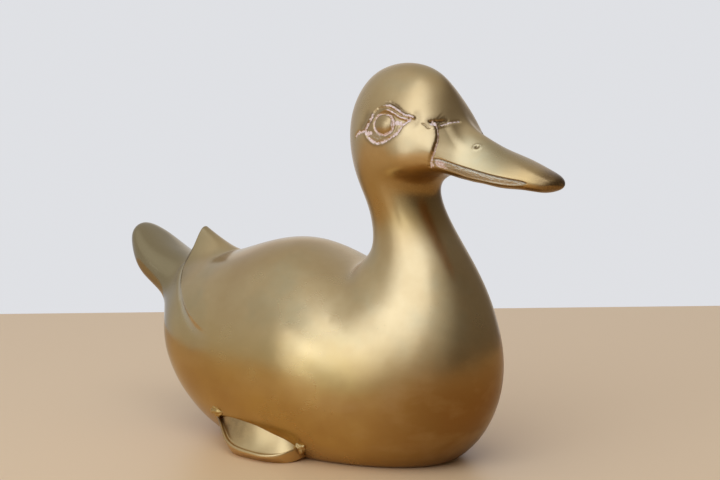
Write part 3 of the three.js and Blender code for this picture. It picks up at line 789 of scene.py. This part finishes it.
# %% Carve the mouth
band_sunk, grain_height, lip_over = 0.6, 0.24, 0.4
mouth_top = catmull_rom([
    (67.6, 131.4), (69.6, 132.2), (72.2, 132.1), (75.2, 131.2), (79.4, 129.9), (87.4, 127.9), (95.9, 126.3),
    (105.6, 125.0), (108.6, 124.4),
])
mouth_foot = catmull_rom([
    (67.4, 129.8), (70.4, 128.9), (74.0, 127.6), (77.6, 126.3), (82.6, 124.9), (91.4, 123.7), (100.8, 122.9),
    (106.0, 123.5), (108.6, 124.2),
])
under_lip = np.interp(head_x, *mouth_top.T) - head_z
over_foot = head_z - np.interp(head_x, *mouth_foot.T)
in_length = smooth(head_x, 69.0, 70.2) * smooth(-head_x, -108.6, -106.5)
on_side = smooth(head_y, 2.0, 4.0)
band = smooth(under_lip, -0.1, 0.25) * smooth(over_foot, -0.2, 0.3) * in_length * on_side
grain = waves(head_grid, 0.55, 1.7) + 0.6 * waves(head_grid, 0.28, 6.1)
carved += band * (-band_sunk + grain_height * grain)
carved -= lip_over * fading(under_lip - 0.15, 0.3) * in_length * on_side
print("mouth opens over", int((band > 0.5).sum()), "points")

# %% What the mouth holds, and painted shade under the upper bill
lip_line = fading(under_lip - 0.05, 0.32) * in_length * on_side
foot_line = fading(over_foot + 0.35, 0.35) * in_length * on_side
under_bill = smooth(-over_foot, 0.9, 2.2) * smooth(head_x, 70, 74)
mouth_corner = smooth(under_lip, 0.5, 0.9) * fading(head_x - 71.5, 2.6)
leave(grit_and_highlight, band)
# painted shade along the mouth's edges, under the overhanging upper bill, and under the bill
leave(grime_and_shade, lip_line)
leave(grime_and_shade, 0.6 * foot_line)
leave(grime_and_shade, 0.75 * under_bill)
leave(residue_and_highlight, band * smooth(grain, -0.1, 0.9) * 0.6)
leave(residue_and_highlight, band * mouth_corner * 0.9)
print("points with grit:", int((grit_and_highlight > 0.5).sum()))

# %% Punch the nostrils
nostril_x, nostril_z = 82.8, 137.2
nostril_flat = 1.3
nostril_rim = 1.25
from_nostril = np.hypot(head_x - nostril_x, (head_z - nostril_z) * nostril_flat)
from_nostril = np.where(head_y > 3, from_nostril, 9)
carved += groove(from_nostril, 0.55, 0.6) - groove(from_nostril - nostril_rim, 0.45, 0.14)
leave(residue_and_highlight, 0.42 * fading(from_nostril - nostril_rim, 0.4))
leave(grime_and_shade, 0.9 * fading(from_nostril, 0.6))
print("nostrils at x", nostril_x, "and z", nostril_z, "mm")

# %% [markdown]
# Up to here no point has moved: every line only added to one height per point.
# Now the skin moves once, straight in or out of the metal. Moving it line by
# line would bend the later lines over the earlier ones. Two more rings step in
# at the neck, as on the body, and the three layers go onto the points.

# %% Head casting
head_grid = head_grid + outward(head_grid) * carved[..., None]
seam_start = seat_rings([neck_seam + 0.02, neck_seam + braze_half], head_angles)
head = skin_over("duck_head", np.concatenate([seam_start, head_grid]))
sharpen_rings(head, len(head_angles), len(seam_start))
for layer_name, layer in (("residue_and_highlight", residue_and_highlight), ("grime_and_shade", grime_and_shade), ("grit_and_highlight", grit_and_highlight)):
    keep_value(head, layer_name, np.concatenate([np.zeros((2, len(head_angles))), layer]))
print("head:", len(head.data.vertices), "points,", [round(v, 4) for v in head.dimensions], "m")
print("deepest cut", carved.min().round(2), "mm, highest ridge", carved.max().round(2), "mm")

# %% [markdown]
# ## The braze round the neck
#
# The head sits over a spigot on the body, and braze fills the groove between
# the two. It was filed flush and polished, so all that shows of it is browner
# metal. It could be left out, but then a groove about four millimetres wide
# would stay open round the neck. The ring follows the same form as its
# neighbours, with the same file waves, and closes on itself inside the neck.

# %% Neck braze
band_places = spread((neck_seam - braze_half, neck_seam + braze_half, 0.04))
band_outside = filed(grid_of(band_places, body_angles))
band_inside = grid_of(band_places[::-1], body_angles, braze_depth)
neck_ring = skin_over("neck_braze_ring", np.concatenate([band_outside, band_inside]), closed=True)
sharpen_rings(neck_ring, len(body_angles), 0, len(band_places) - 1)
# the throat's grime and painted shade run on over the braze
keep_value(neck_ring, "grime_and_shade", neck_stain_and_shade(band_outside))
print("neck braze:", len(neck_ring.data.vertices), "points")

# %% [markdown]
# ## The feet
#
# Each foot is a small casting of its own, a leaf laid against the flank. It
# comes down from the heel, turns along the table and ends in a round toe. Its
# outside is dished like a shallow spoon, with a thick smooth rim that catches
# the window. It could be modelled from a box, but it has to lie against the
# flank all along. So it is lofted along the duck from cross sections: how far
# the rim stands out past the flank, and the heights of the rim, of the crease
# against the flank and of the underside. The left foot is the right one
# mirrored.

# %% Foot sections
# x, rim past the flank, rim height, crease height, underside height
foot_sections = [
    (-34, -8.5, 15, 17, 12.5),
    (-30, -6, 13.2, 18.8, 10),
    (-25.5, -2.8, 10.3, 19.7, 6.4),
    (-20, 0.6, 6.6, 19.8, 1.2),
    (-13, 2.8, 4.7, 19.2, 0),
    (-5, 3.4, 4, 17.4, 0),
    (2, 3.2, 3.8, 14.8, 0),
    (8, 1.4, 4.2, 12.6, 0),
    (12, -2.2, 5.4, 10, 0.3),
    (14, -6.5, 6.6, 8, 1.6),
]
foot_flare = 2.6
foot_sunk = 3
lip = 1.1
lip_hollow = 0.35
dish_curve = 1.25


def reach_at(x, z):
    """How far the duck's side stands from its middle plane at a place in the side view."""
    return onto_side(np.array([[x, z]]), body_grid)[0, 1]


def foot_outline(rim_y, rim, crease, under, inner):
    """The outline of one section as (y, z), from inside under the flank, round the rim and back."""
    sole = rim_y - foot_flare
    top = [
        (rim_y - 2 * lip - share * (rim_y - 2 * lip - inner),
         rim - lip_hollow + (crease - rim + lip_hollow) * share ** dish_curve)
        for share in (0.08, 0.2, 0.35, 0.5, 0.65, 0.8, 1)
    ]
    return [
        (flank / 2, under), (sole - 3, under), (sole - 0.9, under), (sole, under + 0.8),
        (rim_y - 0.35, rim - 1.5), (rim_y, rim - 0.6), (rim_y - 0.35, rim + 0.15), (rim_y - lip, rim + 0.3),
        (rim_y - 1.7 * lip, rim - 0.15), *top, (inner - 2, crease),
    ]


print("foot from x", foot_sections[0][0], "to", foot_sections[-1][0], "mm")

# %% Loft the right foot
foot_wave, foot_wave_length = 0.12, 5
flank = reach_at(-12, 40)
foot_places = spread((0, len(foot_sections) - 1, 0.1))
inner_sides = [reach_at(x, crease) - foot_sunk for x, out, rim, crease, under in foot_sections]
foot_measures = [batten(column)(foot_places) for column in (*zip(*foot_sections), inner_sides)]
foot_rings = []
for x, out, rim, crease, under, inner in zip(*foot_measures):
    outline = catmull_rom(foot_outline(flank + out, rim, crease, under, inner), 5)
    foot_rings.append([(x, -y, max(z, 0)) for y, z in outline])
foot_grid = np.array(foot_rings)
above_table = foot_grid[..., 2:] > 1
foot_grid[..., 1:] += foot_wave * waves(foot_grid, foot_wave_length, 2.2)[..., None] * above_table
right_foot = skin_over("right_foot_casting", foot_grid)

# the dish gets mottled painted shade along its crease and towards the heel
under_crease = foot_measures[3][:, None] - foot_grid[..., 2]
heel_side = 1 - smooth(foot_grid[..., 0], -27, 4)
foot_painted_shade = 0.55 * fading(under_crease, 2.6) + 0.7 * heel_side * smooth(-under_crease, -16, -9)
keep_value(right_foot, "grime_and_shade", foot_painted_shade * (0.8 + 0.5 * waves(foot_grid, 3, 4.0)))
print("foot:", len(right_foot.data.vertices), "points,", [round(v, 4) for v in right_foot.dimensions], "m")

# %% [markdown]
# Where heel and toe meet the flank, a rough crumb of braze was left standing.
# Each crumb is a small ball pushed about by two sizes of noise until nothing of
# the ball is left. A sculpted lump would look as good, but it couldn't be
# written down as a few numbers.


# %% Crumbs of braze
def crumb(name, middle, half_sizes, seed):
    """A rough lump against the duck's right flank."""
    up = np.linspace(-0.48, 0.48, 33)[:, None] * np.pi
    turn = np.arange(48)[None, :] * np.pi / 24
    across, tall = np.cos(up), np.sin(up) * np.ones_like(turn)
    ball = np.stack([across * np.cos(turn), across * np.sin(turn), tall], -1)
    lumps = 1 + 0.45 * waves(ball, 0.75, seed) + 0.22 * waves(ball, 0.3, seed + 3)
    rings = np.array(middle) + ball * lumps[..., None] * half_sizes
    rings[..., 2] = np.maximum(rings[..., 2], 0.05)
    return skin_over(name, rings)


heel_y, toe_y = reach_at(-31, 16.5), reach_at(15, 7)
right_heel = crumb("right_heel_crumb", (-30, -heel_y - 0.1, 16.6), (4.2, 1.5, 2.1), 4.0)
right_toe = crumb("right_toe_crumb", (15.2, -toe_y - 0.3, 7.2), (2.6, 1.5, 2.3), 8.0)


def mirrored(piece, name):
    """The same piece on the duck's other side."""
    mesh = piece.data.copy()
    mesh.name = name
    mesh.transform(Matrix.Scale(-1, 4, (0, 1, 0)))
    mesh.flip_normals()
    return add_object(name, mesh)


left_foot = mirrored(right_foot, "left_foot_casting")
left_heel = mirrored(right_heel, "left_heel_crumb")
left_toe = mirrored(right_toe, "left_toe_crumb")
print("crumbs:", [len(lump.data.vertices) for lump in (right_heel, right_toe)], "points")

# %% [markdown]
# ## The opening under the belly
#
# The core was shaken out through an oval opening in the belly, which is closed
# by a plate with a ring of braze round it. The rebate for them could be drawn
# into the rings, but its outline crosses them. So a Boolean cuts it into the
# body, and plate and braze really sit in it.

# %% Cut the rebate
plate_x = 12
plate_length, plate_width = 72, 38
braze_width = 2
rebate_depth = 3.3
grow = braze_width + 2 * fit_gap
around = np.arange(96) * 2 * np.pi / 96
oval_x = plate_x + (plate_length / 2 + grow) * np.cos(around)
oval_y = (plate_width / 2 + grow) * np.sin(around)
oval = np.stack([oval_x, oval_y, 0 * around], -1)
cutter = skin_over("rebate_cutter", np.array([oval - (0, 0, 1), oval + (0, 0, rebate_depth)]))
cut_out = body.modifiers.new("rebate", "BOOLEAN")
cut_out.object = cutter
cut_out.operation = "DIFFERENCE"
cut_out.solver = "MANIFOLD"
shaped = bpy.data.meshes.new_from_object(body.evaluated_get(bpy.context.evaluated_depsgraph_get()))
shaped.materials.clear()
body.modifiers.clear()
body.data = shaped
bpy.data.objects.remove(cutter)
print("body with its rebate:", len(body.data.vertices), "points")

# %% [markdown]
# ## Satin bronze
#
# The metal is one recipe for every casting, built up from a few small ones: its
# colour, the marks in it, what the polisher left on it, and how rough it is. A
# bought metal preset would have none of these. The recipe is made of nodes, so
# first come short names for the few kinds of node that it needs.


# %% Node helpers
def put(tree, kind, inputs=(), **settings):
    """Adds a node, and sets its inputs to values or links them to other nodes."""
    made = tree.nodes.new(kind)
    for key, value in settings.items():
        setattr(made, key, value)
    for key, value in dict(inputs).items():
        if isinstance(value, bpy.types.NodeSocket):
            tree.links.new(value, made.inputs[key])
        else:
            made.inputs[key].default_value = value
    return made


def place_on(tree, stretch=(1, 1, 1), turn=(0, 0, 0)):
    """The place on the piece, in metres, stretched and turned for a texture."""
    place = put(tree, "ShaderNodeTexCoord").outputs["Object"]
    turned = put(tree, "ShaderNodeMapping", {"Vector": place, "Scale": stretch, "Rotation": turn})
    return turned.outputs[0]


def noise_of(tree, size, detail=2.0, stretch=(1, 1, 1), turn=(0, 0, 0)):
    """Noise whose features are about size metres across."""
    return put(tree, "ShaderNodeTexNoise", {
        "Vector": place_on(tree, stretch, turn), "Scale": 1 / size, "Detail": detail, "Roughness": 0.5,
    }).outputs["Fac"]


def remap(tree, value, low, high, to_low=0.0, to_high=1.0):
    """Takes the range from low to high to another one, and stops at its ends."""
    return put(tree, "ShaderNodeMapRange", {
        "Value": value, "From Min": low, "From Max": high, "To Min": to_low, "To Max": to_high,
    }).outputs[0]


def eased(tree, value, low, high):
    """From 0 to 1 between low and high, without a corner at either end."""
    return put(tree, "ShaderNodeMapRange", {
        "Value": value, "From Min": low, "From Max": high,
    }, interpolation_type="SMOOTHSTEP").outputs[0]


def mix_colours(tree, share, first, second, how="MIX"):
    inputs = {0: share, 6: first, 7: second}
    return put(tree, "ShaderNodeMix", inputs, data_type="RGBA", blend_type=how).outputs[2]


def mix_numbers(tree, share, first, second):
    return put(tree, "ShaderNodeMix", {0: share, 2: first, 3: second}, data_type="FLOAT").outputs[0]


def calculate(tree, how, first, second):
    return put(tree, "ShaderNodeMath", {0: first, 1: second}, operation=how).outputs[0]


def add(tree, first, second):
    return calculate(tree, "ADD", first, second)


def subtract(tree, first, second):
    return calculate(tree, "SUBTRACT", first, second)


def times(tree, first, second):
    return calculate(tree, "MULTIPLY", first, second)


# %% [markdown]
# The colour wanders between a yellow, a brown and an olive bronze, because
# handling and polish have dulled it unevenly. Low on the body the metal is
# painted a darker, deeper gold, browner still towards the breast: that is
# painted shade, with random patches rubbed bright and tarnished over it. The
# neck is browner where it was brazed. The tail is more olive, partly patina and
# partly painted shade that damps the window's highlight on it. Each change is a
# mask made from noise or from the place on the duck, so that no picture has to
# be painted.

# %% Colours of the metal
tarnish = (0.3, 0.14, 0.045, 1)
brazed_brown = (0.45, 0.28, 0.09, 1)
tail_olive_and_shade = (0.37, 0.28, 0.135, 1)
grime_and_shade_brown = (0.13, 0.07, 0.03, 1)
unfiled_and_highlight_pale = (0.62, 0.53, 0.36, 1)
in_pits = (0.1, 0.06, 0.03, 1)
crust_and_highlight_dark, crust_and_highlight_pale = (0.7, 0.46, 0.31, 1), (0.92, 0.72, 0.57, 1)


def metal_colour(tree, place, yellow, brown, olive, low_shade_gold, breast_shade_brown):
    """Handled metal, browner at the neck's braze, olive on the tail, with painted shade low down and on the
    tail.
    """
    handled = remap(tree, noise_of(tree, 0.045, 3), 0.42, 0.72)
    dulled = remap(tree, noise_of(tree, 0.03, 4, turn=(0.6, 0.2, 0)), 0.5, 0.75)
    speckled = remap(tree, noise_of(tree, 0.0035, 3), 0.3, 0.8, 0, 0.25)
    colour = mix_colours(tree, handled, yellow, brown)
    colour = mix_colours(tree, dulled, colour, olive)
    colour = mix_colours(tree, speckled, colour, brown)

    rubbed = remap(tree, noise_of(tree, 0.014, 5, stretch=(0.5, 1, 1.4), turn=(0, 0.3, 0)), 0.5, 0.7, 0, 0.2)
    tarnished = remap(tree, noise_of(tree, 0.02, 5, turn=(0.4, 0, 0.8)), 0.45, 0.7, 0, 0.28)
    # painted shade: a darker gold low on the body, browner towards the breast
    below = mix_colours(tree, eased(tree, place["X"], 0.03, 0.085), low_shade_gold, breast_shade_brown)
    below = mix_colours(tree, rubbed, below, yellow)
    below = mix_colours(tree, tarnished, below, tarnish)
    colour = mix_colours(tree, eased(tree, place["Z"], 0.07, 0.03), colour, below)

    collar = times(tree, eased(tree, place["Z"], 0.095, 0.107), eased(tree, place["Z"], 0.134, 0.118))
    colour = mix_colours(tree, times(tree, collar, 0.8), colour, brazed_brown)
    # the tail: olive patina, with painted shade that damps the window's highlight on it
    return mix_colours(tree, eased(tree, place["X"], -0.055, -0.085), colour, tail_olive_and_shade)


# %% [markdown]
# Fine stretched noise gives the marks of the polishing belt, in two directions,
# and tiny pits are left from the casting, in a few patches only. The roughness
# wanders, so that highlights are broken softly. It is a little higher on the
# breast and lower on the rump, which mirrors the table's edge.


# %% Marks and roughness
pits_per_metre = 480.0


def worn_marks(tree):
    """Two layers of belt marks, and 1 in the casting's pits."""
    belt = noise_of(tree, 0.0006, 2, stretch=(0.08, 1, 1), turn=(0, 0.35, 0.3))
    belt_two = noise_of(tree, 0.0007, 2, stretch=(1, 1, 0.07), turn=(0.2, -0.1, 0))
    cells = put(tree, "ShaderNodeTexVoronoi", {
        "Vector": place_on(tree), "Scale": pits_per_metre, "Randomness": 1.0,
    })
    pit = remap(tree, cells.outputs["Distance"], 0.09, 0.16, 1, 0)
    few = remap(tree, noise_of(tree, 0.012, 2, turn=(0, 0, 1)), 0.6, 0.68)
    return belt, belt_two, times(tree, pit, few)


def metal_roughness(tree, place, belt, grit_and_highlight, smoothest, roughest):
    """How blurred the room is in the metal."""
    rough = remap(tree, noise_of(tree, 0.02, 3, turn=(1, 0, 0)), 0.3, 0.7, smoothest, roughest)
    rough = add(tree, rough, remap(tree, belt, 0.3, 0.7, -0.006, 0.006))
    rough = add(tree, rough, times(tree, grit_and_highlight, 0.25))
    rough = add(tree, rough, times(tree, eased(tree, place["X"], 0.0, 0.05), 0.08))
    return subtract(tree, rough, times(tree, eased(tree, place["X"], -0.02, -0.06), 0.07))


# %% [markdown]
# What the polisher left is read back from the numbers kept on the points, and
# so is the painted light laid with it. Grime with its painted shade, and grit
# with its painted highlight in the wing's groove, only tint the metal. The dried
# polish, and the painted highlight on the lid ridges, hide it under a dull
# pinkish crust, so there the finish stops being metal at all. Fine noise breaks
# up their edges, which the mesh alone would draw too cleanly.


# %% The bronze recipe
crumb_height = 14.0
bump_strength, bump_distance = 0.04, 0.00004


def kept_value(tree, layer):
    """What keep_value stored on the points."""
    return put(tree, "ShaderNodeAttribute", attribute_name=layer).outputs["Fac"]


def bronze_finish(name, yellow, brown, olive, smoothest, roughest, belt_marks=0.5, pits=0.5,
                  low_shade_gold=(0.52, 0.33, 0.1, 1), breast_shade_brown=(0.27, 0.14, 0.04, 1)):
    """Satin bronze from its clean, handled and dulled colours, and the two colours of its painted shade low
    down.
    """
    finish = bpy.data.materials.new(name)
    finish.use_nodes = True
    tree = finish.node_tree
    tree.nodes.clear()
    place = put(tree, "ShaderNodeSeparateXYZ", {0: place_on(tree)}).outputs
    belt, belt_two, pit = worn_marks(tree)
    residue_and_highlight, grime_and_shade, grit_and_highlight = (kept_value(tree, layer) for layer in ("residue_and_highlight", "grime_and_shade", "grit_and_highlight"))
    crumbs = noise_of(tree, 0.0007, 3)
    crust_and_highlight = remap(tree, add(tree, residue_and_highlight, remap(tree, crumbs, 0.3, 0.7, -0.16, 0.16)), 0.4, 0.66)

    # grime, and painted shade, darken the metal towards dark brown
    stain_and_shade = times(tree, grime_and_shade, remap(tree, crumbs, 0.25, 0.6, 0.55, 0.95))
    colour = metal_colour(tree, place, yellow, brown, olive, low_shade_gold, breast_shade_brown)
    colour = mix_colours(tree, stain_and_shade, colour, grime_and_shade_brown)
    # pale unfiled metal, and in the wing's groove partly a painted highlight
    colour = mix_colours(tree, times(tree, grit_and_highlight, 0.75), colour, unfiled_and_highlight_pale)
    colour = mix_colours(tree, times(tree, pit, 0.2), colour, in_pits)
    # the pale crust of dried polish, and the painted highlight on the lid ridges
    crust_and_highlight_colour = mix_colours(tree, remap(tree, crumbs, 0.35, 0.65), crust_and_highlight_dark, crust_and_highlight_pale)

    loose = times(tree, calculate(tree, "MAXIMUM", crust_and_highlight, grit_and_highlight), crumbs)
    height = add(tree, times(tree, belt, belt_marks), times(tree, belt_two, belt_marks))
    height = subtract(tree, height, times(tree, pit, pits))
    height = add(tree, height, times(tree, loose, crumb_height))
    bump = put(tree, "ShaderNodeBump", {
        "Height": height, "Strength": bump_strength, "Distance": bump_distance,
    })

    rough = metal_roughness(tree, place, belt, grit_and_highlight, smoothest, roughest)
    shader = put(tree, "ShaderNodeBsdfPrincipled", {
        "Base Color": mix_colours(tree, crust_and_highlight, colour, crust_and_highlight_colour),
        "Metallic": subtract(tree, 1.0, crust_and_highlight),
        "Roughness": mix_numbers(tree, crust_and_highlight, rough, 0.75),
        "Normal": bump.outputs[0],
    })
    put(tree, "ShaderNodeOutputMaterial", {"Surface": shader.outputs[0]})
    return finish


# %% Four finishes
satin_bronze = bronze_finish(
    "satin bronze", (0.6, 0.42, 0.19, 1), (0.5, 0.315, 0.12, 1), (0.48, 0.37, 0.18, 1), 0.19, 0.29
)
foot_bronze = bronze_finish(
    "worn foot bronze", (0.62, 0.47, 0.22, 1), (0.52, 0.38, 0.17, 1), (0.45, 0.36, 0.18, 1), 0.34, 0.44,
    belt_marks=0.3, low_shade_gold=(0.6, 0.4, 0.16, 1), breast_shade_brown=(0.58, 0.38, 0.15, 1)
)
braze_metal = bronze_finish(
    "braze metal", (0.5, 0.42, 0.26, 1), (0.3, 0.22, 0.12, 1), (0.34, 0.3, 0.2, 1), 0.35, 0.55, pits=1.5
)
plate_brass = bronze_finish(
    "plate brass", (0.42, 0.3, 0.14, 1), (0.32, 0.2, 0.09, 1), (0.3, 0.24, 0.12, 1), 0.4, 0.55, belt_marks=1.5
)
for finish in (satin_bronze, foot_bronze, braze_metal, plate_brass):
    print(finish.name, "has", len(finish.node_tree.nodes), "nodes")

# %% [markdown]
# Now each piece gets its finish, and is tied to the solid that it stands for.
# The plate and its braze are plain enough for the solids themselves to show, so
# they only get a finish. The neck's braze was filed flush and polished with the
# rest, so it gets the bronze of the castings.

# %% Who rides on what
for piece, node, slot, finish in (
    (body, "body_casting", "cast_bronze", satin_bronze),
    (head, "head_casting", "cast_bronze", satin_bronze),
    (neck_ring, "neck_braze", "braze_metal", satin_bronze),
    (left_foot, "left_foot", "foot_bronze", foot_bronze),
    (right_foot, "right_foot", "foot_bronze", foot_bronze),
    (left_heel, "left_heel_braze", "braze_metal", braze_metal),
    (right_heel, "right_heel_braze", "braze_metal", braze_metal),
    (left_toe, "left_toe_braze", "braze_metal", braze_metal),
    (right_toe, "right_toe_braze", "braze_metal", braze_metal),
):
    piece.data.materials.append(finish)
    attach(piece, "root")
    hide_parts(node)

for node, finish in (("belly_braze", braze_metal), ("belly_plate", plate_brass)):
    for material_slot in frame["nodes"][node].material_slots:
        material_slot.material = finish
print("dressed", len(frame["nodes"]), "nodes")

# %% [markdown]
# ## The table and the light
#
# Polished metal shows the room more than itself, so the light is part of the
# material here. The duck sits on a plain pale table top, whose far edge is the
# line behind it. The edge runs slightly askew to the camera.

# %% Table top
table_back = 0.322
table_front = 1.6
table_half_width = 1.5
table_thick = 0.025
view_way = Vector((-math.sin(camera_azimuth), math.cos(camera_azimuth), 0))
side_way = Vector((math.cos(camera_azimuth), math.sin(camera_azimuth), 0))
table_turn = math.radians(3.5)
corners = []
for forward, aside in ((table_back, -1), (table_back, 1), (-table_front, 1), (-table_front, -1)):
    skew = aside * table_half_width * math.tan(table_turn) if forward > 0 else 0
    under_duck = Vector((look_at.x, look_at.y, 0))
    corners.append(under_duck + view_way * (forward + skew) + side_way * aside * table_half_width)
table_mesh = bpy.data.meshes.new("table_top")
table_mesh.from_pydata(
    [p[:] for p in corners] + [(p.x, p.y, -table_thick) for p in corners], [],
    [(3, 2, 1, 0), (4, 5, 6, 7), (0, 1, 5, 4), (1, 2, 6, 5), (2, 3, 7, 6), (3, 0, 4, 7)],
)
table_top = add_object("table_top", table_mesh)
pale_wood = bpy.data.materials.new("pale table")
pale_wood.use_nodes = True
wood = pale_wood.node_tree.nodes["Principled BSDF"]
wood.inputs["Base Color"].default_value = (0.82, 0.53, 0.25, 1)
wood.inputs["Roughness"].default_value = 0.4
table_mesh.materials.append(pale_wood)
print("table top", [round(v, 3) for v in table_top.dimensions], "m")

# %% [markdown]
# The room round the duck is soft and white, dimmer on the side the bill points
# to and low down, and paler behind the duck. A photograph of a room would do
# that with one picture, but three soft regions are easier to set against the
# metal, and they add no pattern of their own. The third is a faint glow beside
# the window.


# %% Room
def way(azimuth, elevation):
    """A direction by its azimuth, 0 towards the duck's right and 90 towards its bill, and elevation."""
    a, e = math.radians(azimuth), math.radians(elevation)
    return Vector((math.sin(a) * math.cos(e), -math.cos(a) * math.cos(e), math.sin(e)))


world = bpy.data.worlds.new("room")
bpy.context.scene.world = world
world.use_nodes = True
room = world.node_tree
room.nodes.clear()
towards = put(room, "ShaderNodeTexCoord").outputs["Generated"]


def region(middle, start, full):
    """0 to 1 over the part of the room that lies towards a direction."""
    facing = put(room, "ShaderNodeVectorMath", {0: towards, 1: middle}, operation="DOT_PRODUCT")
    return eased(room, facing.outputs["Value"], start, full)


bill_side_and_down = way(125, 0) - Vector((0, 0, 0.5))
behind_duck = way(-143, 0)
beside_window = way(-42, 62)
glow_strength = 0.17
dim = region(bill_side_and_down, -0.08, 0.5)
wall = region(behind_duck, 0.82, 0.95)
glow = times(room, region(beside_window, 0.8, 0.98), glow_strength)
room_colour = mix_colours(room, dim, (0.56, 0.6, 0.7, 1), (0.16, 0.15, 0.15, 1))
room_colour = mix_colours(room, wall, room_colour, (0.74, 0.75, 0.78, 1))
room_colour = mix_colours(room, glow, room_colour, (0.73, 0.91, 1.3, 1), "ADD")
background = put(room, "ShaderNodeBackground", {"Color": room_colour, "Strength": 1.0})
put(room, "ShaderNodeOutputWorld", {"Surface": background.outputs[0]})
print("the room has", len(room.nodes), "nodes")

# %% [markdown]
# One large soft lamp stands high to the left of the camera, like a tall window.
# It draws the broad lights on the head, the neck and the flank. A smaller one
# stands low and further left, and fills the shoulder. A sun lamp would be too
# hard for satin metal, and a room without lamps too flat.

# %% Window lamps
lamp_distance = 1.35
lamps_face = Vector((0.02, 0, 0.09))
daylight = (0.73, 0.92, 1.4)


def lamp(name, azimuth, elevation, wide, tall, lean, brightness):
    """A soft window light that faces the duck, leaning by some degrees."""
    light = bpy.data.lights.new(name, "AREA")
    light.shape = "RECTANGLE"
    light.size, light.size_y = wide, tall
    light.energy = brightness * math.pi * tall * wide
    light.color = daylight
    held = add_object(name, light)
    held.location = lamps_face + way(azimuth, elevation) * lamp_distance
    held.rotation_mode = "QUATERNION"
    turn = Quaternion((0, 0, 1), -math.radians(lean))
    held.rotation_quaternion = way(azimuth, elevation).to_track_quat("Z", "Y") @ turn
    return light


window = lamp("window_lamp", 15.5, 47.5, wide=0.96, tall=2.05, lean=24, brightness=1.6)
side_window = lamp("side_window_lamp", -18.5, 14.5, wide=0.52, tall=0.76, lean=0, brightness=1.35)
bpy.context.scene.view_settings.view_transform = "Standard"
print("lamp power", round(window.energy, 2), "and", round(side_window.energy, 2), "W")
